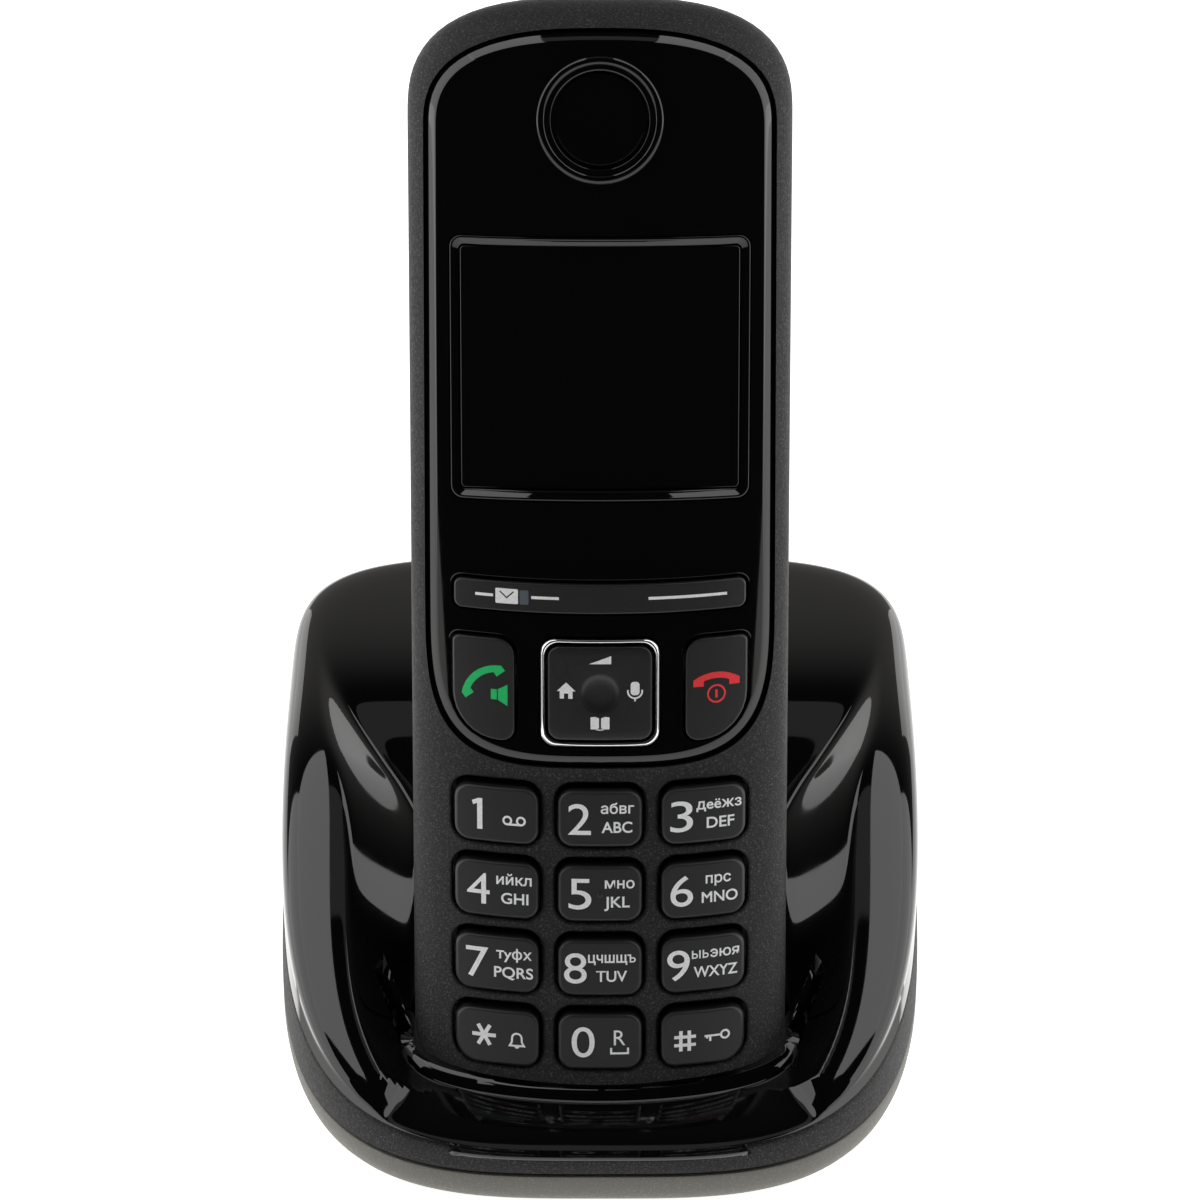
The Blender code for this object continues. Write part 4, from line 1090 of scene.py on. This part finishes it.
def build_window():
    band("window_bezel", bezel_line, lambda grow: lens_line(0.12 + grow),
         ((0.0, -0.12), (0.03, -0.04), (0.08, 0.0), (0.26, 0.0), (0.31, -0.03), (0.36, -0.1), (0.9, -0.5),
          (0.96, -0.56), (1.0, -0.66)), -1.6, "gloss_black", ("display_bezel",))
    plug("display_lens", lens_line, lens_z, -4.4, 0.22, WINDOW, "handset", "display_glass",
         ("display_window",))


def build_earpiece():
    half_ring = [(k / 8, 0.34 * math.sin(math.pi * k / 8) ** 0.6) for k in range(9)]
    band("earpiece_ring", lambda grow: circle(8.05, EARPIECE, 96), lambda grow: circle(6.95, EARPIECE, 96),
         half_ring, -0.5, "gloss_black")
    plug("earpiece_cap", lambda grow: circle(5.8 + grow, EARPIECE, 96), lambda x, t: face_z(x, t) - 0.55,
         -1.9, 0.25, EARPIECE, "handset", "gloss_black", ("earpiece_disc",))


def build_nav_ring():
    profile = [(k / 10, 0.5 * math.sin(math.pi * (0.08 + 0.84 * k / 10)) ** 0.7) for k in range(11)]
    band("nav_ring_band", nav_line, lambda grow: KEYS["nav_key"]["line"](PANEL_KEY_GAP), profile, -1.2,
         "chrome", ("nav_ring",))


def build_front():
    """The matte front frame, with its holes, and their eased edges."""
    form = to_object("front_frame", handset_form(), None, "matte_black", HANDSET)
    half = tool(block((-30, -80, SPLIT_Z), (30, 90, 10)), HANDSET)
    hollow = tool(handset_form(*SHELL_WALLS), HANDSET)
    recess = tool(prism(panel_outline(GAP), -9, 6), HANDSET)
    seat = tool(handset_form(PANEL_THICKNESS + BEVEL_DROP + GAP), HANDSET)
    carve(recess, ("DIFFERENCE", seat))
    holes = [lens_line(0.35), circle(4.5, EARPIECE)]
    for key in KEYS.values():
        ease = FRAME_EDGE if key["rise"] == NUMBER_RISE else 0.0
        holes.append(key["hole"](key["gap"] + ease))
    cutters = [tool(prism(hole, -9, 6), HANDSET) for hole in holes]
    carve(form, ("INTERSECT", half), ("DIFFERENCE", hollow), ("DIFFERENCE", recess),
          *[("DIFFERENCE", cutter) for cutter in cutters])
    drop(half, hollow, recess, seat, *cutters)
    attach(form, "handset")
    finish_piece(("handset_front_frame",))
    edges = [(key["hole"], face_z, key["gap"], FRAME_EDGE, 2.4) for key in KEYS.values()
             if key["rise"] == NUMBER_RISE]
    rims("frame_hole_edges", edges, "matte_black")


# ---------------------------------------------------------------- the handset's back

def build_back():
    shell = to_object("back_shell", handset_form(), None, "matte_black", HANDSET)
    half = tool(block((-30, -80, -30), (30, 90, SPLIT_Z - GAP)), HANDSET)
    hollow = tool(handset_form(*SHELL_WALLS), HANDSET)
    door_hole = tool(prism(rounded_outline(30.6, 59.4, (3.3,) * 4, (0.0, -5.6)), -30, -16), HANDSET)
    cutters = [half, hollow, door_hole]
    for i in range(-2, 3):
        slot = rounded_outline(9.0 - abs(i), 0.9, (0.44,) * 4, (0.0, 46.0 + 2.2 * i))
        cutters.append(tool(prism(slot, -30, -18), HANDSET))
    for x in (-8.5, 8.5):
        cutters.append(tool(block((x - 2.3, -62.3, -28), (x + 2.3, -55.7, -16)), HANDSET))
    carve(shell, ("INTERSECT", half), *[("DIFFERENCE", cutter) for cutter in cutters[1:]])
    drop(*cutters)
    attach(shell, "handset")
    finish_piece(("handset_back_shell",))

    door = to_object("door_panel", prism(rounded_outline(30.0, 55.0, (3.0,) * 4, (0.0, -7.5)), -28, -16),
                     None, "matte_black", HANDSET)
    outer, inner = tool(handset_form(), HANDSET), tool(handset_form(1.6), HANDSET)
    carve(door, ("INTERSECT", outer), ("DIFFERENCE", inner))
    drop(outer, inner)
    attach(door, "battery_door")
    finish_piece(("battery_door",))
    build_door_grip()


def back_z(x, t):
    """Depth of the form's back."""
    half_x = HALF_WIDTH * section_scales(t, 0.0)[0]
    share = min(abs(x) / half_x, 1.0)
    depth = BACK_DEPTH * foot_taper(t) * section_scales(t, 0.0)[1]
    return -depth * (1 - share ** BACK_POWER) ** (1 / BACK_POWER) - FACE_DEPTH


def build_door_grip():
    """Raised ribs for the thumb on the battery door."""
    shape = bmesh.new()
    for i in range(6):
        t = -29.0 + 1.7 * i
        half = 6.5 - 0.35 * abs(i - 2.5) ** 1.5
        rings = []
        for share, height in ((1.0, -0.3), (1.0, 0.12), (0.8, 0.26), (0.4, 0.33), (0.0, 0.35)):
            line = rounded_outline(2 * half - 0.4 * (1 - share), 0.75 * share + 0.02,
                                   (0.37 * share + 0.005,) * 4, (0.0, t), steps=4, straight=8)
            rings.append([(x, y, back_z(x, y) - height) for x, y in line])
        add_loft(shape, rings, caps=(True, True))
    grip = to_object("door_grip", shape, "battery_door", "matte_black", HANDSET)


# ---------------------------------------------------------------- legends

LEGEND_PROUD, LEGEND_SUNK, LEGEND_STEP = 0.02, 0.05, 0.0012
LEGEND_FACET = 0.8             # longest run across the key between points, so that marks follow its curve

# key: (digit, its x), (upper letters, x, width), (lower letters, x, width)
LETTERS = {
    "key_2": (("2", -2.65), ("абвг", 2.25, 4.3), ("ABC", 2.2, 3.95)),
    "key_3": (("3", -2.85), ("дeëжз", 2.0, 5.9), ("DEF", 2.2, 3.6)),
    "key_4": (("4", -2.4), ("ийкл", 2.25, 4.6), ("GHI", 2.35, 3.55)),
    "key_5": (("5", -2.6), ("мно", 2.55, 3.85), ("JKL", 2.2, 3.3)),
    "key_6": (("6", -2.8), ("прс", 1.95, 3.3), ("MNO", 2.15, 4.7)),
    "key_7": (("7", -2.6), ("тyфх", 2.2, 4.6), ("PQRS", 2.15, 5.1)),
    "key_8": (("8", -3.2), ("цчшщ", 1.0, 5.1), ("TUV", 1.5, 4.0)),
    "key_9": (("9", -3.2), ("эюя", 2.85, 3.8), ("WXYZ", 1.65, 5.7)),
}
SIGNS = {"key_8": (("ъ", 3.95),), "key_9": (("ы", -1.35), ("ь", 0.05))}
DIGIT_HEIGHT, DIGIT_WIDTH = 4.1, 2.95
UPPER_T, LOWER_T = 1.32, -1.05
SMALL_X_HEIGHT, CAPITAL_HEIGHT = 1.1, 1.45


class Legend:
    """Printed marks on one key, gathered as flat shapes about the key's middle and then laid on its top."""

    def __init__(self, key):
        self.key = KEYS[key]
        self.name = key
        self.flat = bmesh.new()
        self.level = 0.0

    def vertex(self, x, y):
        return self.flat.verts.new((x, y, self.level))

    def polygon(self, points):
        """Each shape lies a hair above the last, so that marks may overlap."""
        self.level += LEGEND_STEP
        self.flat.faces.new([self.vertex(x, y) for x, y in points])

    def stroke(self, points, width, closed=False):
        """A line of even width through the points, with mitred corners."""
        self.level += LEGEND_STEP
        count = len(points)
        left, right = [], []
        for i, (x, y) in enumerate(points):
            before = points[i - 1] if closed or i else None
            after = points[(i + 1) % count] if closed or i < count - 1 else None
            steps = [Vector((x - before[0], y - before[1])).normalized()] if before else []
            if after:
                steps.append(Vector((after[0] - x, after[1] - y)).normalized())
            along = sum(steps, Vector((0.0, 0.0))).normalized()
            reach = width / 2 / max(along.dot(steps[0]), 0.35)
            left.append(self.vertex(x - along.y * reach, y + along.x * reach))
            right.append(self.vertex(x + along.y * reach, y - along.x * reach))
        for i in range(count if closed else count - 1):
            j = (i + 1) % count
            self.flat.faces.new((right[i], right[j], left[j], left[i]))

    def hoop(self, centre, radius, width, count=36):
        self.stroke(circle(radius, centre, count), width, closed=True)

    def sign(self, kind, x):
        """One of three letters built on the same bowl: a stem and a bowl, then a bar or a second stem."""
        low, width = UPPER_T - SMALL_X_HEIGHT / 2, 0.2
        top = low + SMALL_X_HEIGHT
        waist = low + 0.66 * SMALL_X_HEIGHT
        self.stroke([(x, low), (x, top)], width)
        bowl = arc((x + 0.34, (low + waist) / 2), (waist - low - width) / 2, 90, -90, 8)
        self.stroke([(x, bowl[0][1])] + bowl + [(x, bowl[-1][1])], 0.85 * width)
        if kind == "ъ":
            self.stroke([(x - 0.38, top - width / 2), (x + width / 2, top - width / 2)], width)
        if kind == "ы":
            self.stroke([(x + 0.95, low), (x + 0.95, top)], width)

    def text(self, words, centre, width, height, bold=0.0, measure=None):
        """Lettering fitted to a width and to a height, which is that of `measure` where given."""
        mesh = text_mesh(words)
        xs = [v.co.x for v in mesh.vertices]
        ys = [v.co.y for v in text_mesh(measure or words).vertices]
        scale_y = (height - 2 * bold) / (max(ys) - min(ys))
        scale_x = (width - 2 * bold) / (max(xs) - min(xs))
        middle = (max(xs) + min(xs)) / 2
        base = centre[1] - height / 2 + bold - min(ys) * scale_y
        letters = bmesh.new()
        letters.from_mesh(mesh)
        for v in letters.verts:
            v.co = Vector((centre[0] + (v.co.x - middle) * scale_x, base + v.co.y * scale_y, v.co.z))
        swell(letters, bold)
        fitted = bpy.data.meshes.new("fitted")
        letters.to_mesh(fitted)
        letters.free()
        self.flat.from_mesh(fitted)
        bpy.data.meshes.remove(fitted)

    def lay(self, look, suffix="legend", proud=LEGEND_PROUD):
        """Lay the marks on the key, give them a thickness and let them ride with it."""
        shape = self.flat
        shape.normal_update()
        bmesh.ops.triangulate(shape, faces=shape.faces)
        for _ in range(4):
            long_edges = [e for e in shape.edges if abs(e.verts[0].co.x - e.verts[1].co.x) > LEGEND_FACET]
            if not long_edges:
                break
            bmesh.ops.subdivide_edges(shape, edges=long_edges, cuts=1)
            shape.normal_update()
            bmesh.ops.triangulate(shape, faces=shape.faces)
        cx, ct = self.key["centre"]
        rise = self.key["rise"]
        for v in shape.verts:
            x = cx + v.co.x
            t = ct + v.co.y + SMILE * (x * x - cx * cx)
            v.co = Vector((x, t, face_z(x, t, rise) + v.co.z - LEGEND_SUNK))
        extruded = bmesh.ops.extrude_face_region(shape, geom=list(shape.faces))
        top = [v for v in extruded["geom"] if isinstance(v, bmesh.types.BMVert)]
        bmesh.ops.translate(shape, vec=(0, 0, LEGEND_SUNK + proud), verts=top)
        thing = to_object(f"{self.name}_{suffix}", shape, self.name, look, HANDSET)


TEXT_CACHE = {}


def text_mesh(words):
    """A flat mesh of some lettering, with each stroke that overlaps another a hair above it."""
    if words not in TEXT_CACHE:
        outlines = letter_outlines(words)
        shape = bmesh.new()
        for index, line in enumerate(outlines):
            if any(encloses(other, line) for other in outlines):
                continue
            holes = [other for other in outlines if encloses(line, other)]
            rings = [[Vector((x, y, 0.0)) for x, y in ring] for ring in (line, *holes)]
            height = index * LEGEND_STEP
            corners = [shape.verts.new((point.x, point.y, height)) for ring in rings for point in ring]
            for triangle in {tuple(sorted(triangle)) for triangle in tessellate_polygon(rings)}:
                shape.faces.new([corners[i] for i in triangle])
        mesh = bpy.data.meshes.new("lettering")
        shape.to_mesh(mesh)
        shape.free()
        TEXT_CACHE[words] = mesh
    return TEXT_CACHE[words]


def letter_outlines(words):
    """The closed outlines of some lettering."""
    curve = bpy.data.curves.new("lettering", type="FONT")
    curve.body = words
    holder = bpy.data.objects.new("lettering", curve)
    scene.collection.objects.link(holder)
    bpy.context.view_layer.update()
    outlines = []
    for spline in holder.to_curve(bpy.context.evaluated_depsgraph_get()).splines:
        points = spline.bezier_points
        line = []
        for i, start in enumerate(points):
            end = points[(i + 1) % len(points)]
            bow = max((handle - start.co).cross(end.co - start.co).length
                      for handle in (start.handle_right, end.handle_left))
            steps = 6 if bow > 1e-5 else 1
            run = interpolate_bezier(start.co, start.handle_right, end.handle_left, end.co, steps + 1)
            line += [(p.x, p.y) for p in run[:-1]]
        outlines.append(line)
    bpy.data.objects.remove(holder, do_unlink=True)
    bpy.data.curves.remove(curve)
    return outlines


def encloses(outer, inner):
    return outer is not inner and all(holds(outer, point) for point in inner)


def holds(line, point):
    """Whether a closed outline goes round a point."""
    x, y = point
    inside = False
    for a, b in zip(line, line[1:] + line[:1]):
        if (a[1] > y) != (b[1] > y) and x < a[0] + (b[0] - a[0]) * (y - a[1]) / (b[1] - a[1]):
            inside = not inside
    return inside


def swell(shape, distance):
    """Make flat strokes bolder, by moving their outline outwards."""
    moves = {}
    for edge in shape.edges:
        if len(edge.link_faces) != 1:
            continue
        a, b = edge.verts
        along = (b.co - a.co).normalized()
        out = Vector((along.y, -along.x, 0.0))
        if out.dot(edge.link_faces[0].calc_center_median() - a.co) > 0:
            out.negate()
        for v in (a, b):
            moves.setdefault(v, []).append(out)
    for v, outs in moves.items():
        total = sum(outs, Vector())
        if total.length > 0.3:
            reach = min(distance * len(outs) / total.length, 1.8 * distance)
            v.co += total.normalized() * reach


def arc(centre, radius, start, end, steps=16):
    """Points on an arc, from one angle in degrees to another."""
    angles = [math.radians(start + (end - start) * k / steps) for k in range(steps + 1)]
    return [(centre[0] + radius * math.cos(a), centre[1] + radius * math.sin(a)) for a in angles]


def handset_icon(length, bend, bar, pad, depth):
    """A telephone receiver seen from the side, bowed upwards, as one outline from the top of its bow."""
    radius = length / 2 / math.sin(math.radians(bend))
    centre = (0.0, -radius)
    outer = arc(centre, radius, 90 + bend, 90 - bend, 18)
    foot = outer[-1][1] - depth
    inner_x = length / 2 - pad
    turn = math.degrees(math.acos(inner_x / (radius - bar)))
    inner = arc(centre, radius - bar, turn, 180 - turn, 14)
    right = [(length / 2, foot), (inner_x, foot)]
    left = [(-inner_x, foot), (-length / 2, foot)]
    return outer + right + inner + left


def star_outline(centre, reach, width, arms):
    """Straight arms of one width that meet in the middle."""
    points = []
    notch = width / 2 / math.sin(math.pi / arms)
    for k in range(arms):
        middle = 2 * math.pi * k / arms
        tip = Vector((math.cos(middle), math.sin(middle))) * reach
        across = Vector((-math.sin(middle), math.cos(middle))) * width / 2
        for corner in (tip - across, tip + across):
            points.append((centre[0] + corner.x, centre[1] + corner.y))
        between = middle + math.pi / arms
        points.append((centre[0] + notch * math.cos(between), centre[1] + notch * math.sin(between)))
    return points


def turned_points(points, degrees, centre):
    c, s = math.cos(math.radians(degrees)), math.sin(math.radians(degrees))
    return [(centre[0] + x * c - y * s, centre[1] + x * s + y * c) for x, y in points]


def build_letter_legends():
    for name, (digit, upper, lower) in LETTERS.items():
        legend = Legend(name)
        legend.text(digit[0], (digit[1], 0.0), DIGIT_WIDTH, DIGIT_HEIGHT)
        legend.text(upper[0], (upper[1], UPPER_T), upper[2], SMALL_X_HEIGHT, 0.03, measure="м")
        for kind, x in SIGNS.get(name, ()):
            legend.sign(kind, x)
        legend.text(lower[0], (lower[1], LOWER_T), lower[2], CAPITAL_HEIGHT, 0.033, measure="H")
        legend.lay("white_ink")


def build_symbol_legends():
    one = Legend("key_1")
    one.polygon([(-1.82, -2.05), (-1.82, 2.05), (-2.36, 2.05), (-3.18, 1.66), (-3.02, 1.14), (-2.5, 1.36),
                 (-2.5, -2.05)])
    for x in (1.42, 3.18):
        one.hoop((x, -0.6), 0.5, 0.27)
    one.stroke([(1.42, -1.1), (3.18, -1.1)], 0.27)
    one.lay("white_ink")

    star = Legend("key_star")
    star.polygon(star_outline((-1.75, 0.2), 1.55, 0.5, 6))
    bell_side = [(1.62, -0.92), (1.9, -0.42), (1.92, 0.1)]
    dome = arc((2.55, 0.1), 0.63, 180, 0, 12)
    bell = bell_side[:2] + dome + [(5.1 - x, y) for x, y in reversed(bell_side[:2])]
    star.stroke(bell, 0.25, closed=True)
    star.polygon(arc((2.55, -0.98), 0.32, 180, 360, 10))
    star.lay("white_ink")

    zero = Legend("key_0")
    zero.text("0", (-2.2, 0.0), 3.0, DIGIT_HEIGHT)
    zero.text("R", (2.55, 0.6), 1.5, 2.0)
    zero.stroke([(1.45, -0.75), (1.45, -1.5), (3.65, -1.5), (3.65, -0.75)], 0.27)
    zero.lay("white_ink")

    gate = Legend("key_hash")
    for offset in (-0.55, 0.55):
        gate.stroke([(-2.3 + offset, -1.65), (-2.3 + offset, 1.1)], 0.46)
        gate.stroke([(-3.72, -0.28 + offset), (-0.88, -0.28 + offset)], 0.42)
    gate.hoop((2.95, 0.12), 0.52, 0.27)
    gate.stroke([(0.25, 0.12), (2.42, 0.12)], 0.26)
    gate.stroke([(0.58, 0.1), (0.58, -0.22)], 0.27)
    gate.stroke([(1.0, 0.1), (1.0, -0.6)], 0.3)
    gate.lay("white_ink")


def build_function_legends():
    talk = Legend("talk_key")
    talk.polygon(turned_points(handset_icon(6.5, 43, 0.9, 1.35, 0.8), 38, (-1.05, 2.2)))
    talk.polygon([(0.95, -1.3), (1.72, -1.3), (1.72, 0.05), (0.95, 0.05)])
    talk.polygon([(1.86, -1.32), (3.1, -2.05), (3.1, 0.75), (1.86, 0.07)])
    talk.lay("green_ink")

    end = Legend("end_key")
    end.polygon(turned_points(handset_icon(6.0, 35, 0.8, 1.35, 0.85), 0, (0.0, 2.2)))
    end.hoop((0.0, -0.65), 1.1, 0.24)
    end.stroke([(0.0, -1.2), (0.0, -0.1)], 0.3)
    end.lay("red_ink")

    nav = Legend("nav_key")
    nav.polygon([(-1.43, 3.95), (1.43, 3.95), (1.43, 5.0)])
    nav.polygon([(-5.55, 0.35), (-5.17, 0.35), (-5.17, -0.62), (-4.62, -0.62), (-4.62, 0.05), (-4.08, 0.05),
                 (-4.08, -0.62), (-3.52, -0.62), (-3.52, 0.35), (-3.14, 0.35), (-4.35, 1.5)])
    nav.polygon(rounded_outline(1.15, 1.75, (0.42,) * 4, (4.5, 0.7), steps=5, straight=2))
    nav.stroke(arc((4.5, 0.35), 0.93, 170, 370, 14), 0.21)
    nav.stroke([(4.5, -0.6), (4.5, -0.98)], 0.22)
    for side in (-1, 1):
        page = [(0.13, -4.5), (0.13, -3.18), (0.65, -2.98), (1.22, -3.04), (1.22, -4.62), (0.62, -4.62)]
        nav.polygon([(side * x, y) for x, y in page][::side])
    nav.stroke([(-0.5, -4.66), (0.0, -4.72), (0.5, -4.66)], 0.14)
    nav.lay("white_ink")

    bar = Legend("softkey_bar")
    for start, end_x in ((-16.0, -13.7), (-8.8, -5.25), (6.2, 16.3)):
        steps = max(int((end_x - start) / 1.2), 2)
        bar.stroke([(start + (end_x - start) * k / steps, 0.1) for k in range(steps + 1)], 0.37)
    bar.polygon(rounded_outline(2.9, 1.95, (0.12,) * 4, (-11.95, 0.1), steps=2, straight=4))
    bar.lay("white_ink")
    flap = Legend("softkey_bar")
    flap.stroke([(-12.85, 0.72), (-11.95, -0.1), (-11.05, 0.72)], 0.17)
    flap.lay("dark_ink", "flap", LEGEND_PROUD + 0.01)
    lamp = Legend("softkey_bar")
    lamp.polygon(rounded_outline(1.15, 1.85, (0.15,) * 4, (-9.72, 0.05), steps=2, straight=3))
    lamp.lay("lamp_grey", "lamp")


def build_tactile_dot():
    """A small raised dome on the middle key, for finding it by touch."""
    cx, ct = KEYS["key_5"]["centre"]
    rings = [[(cx + radius * math.cos(a), ct - 0.1 + radius * math.sin(a), face_z(0.0, ct, NUMBER_RISE) + z)
              for a in (2 * math.pi * k / 24 for k in range(24))]
             for radius, z in ((0.4, -0.1), (0.38, 0.02), (0.33, 0.12), (0.24, 0.19), (0.12, 0.23))]
    dot = to_object("key_5_dot", skin(rings), "key_5", "number_plastic", HANDSET)


build_studio()
LOOKS = make_materials()
for node in nodes.values():
    look = node.data.materials[0].name
    node.data.materials[0] = LOOKS[look.split(".")[0]]
KEYS = make_keys()
build_cover()
build_ring()
build_bottom()
build_panel()
build_window()
build_earpiece()
build_nav_ring()
build_keys()
build_letter_legends()
build_symbol_legends()
build_function_legends()
build_tactile_dot()
build_front()
build_back()
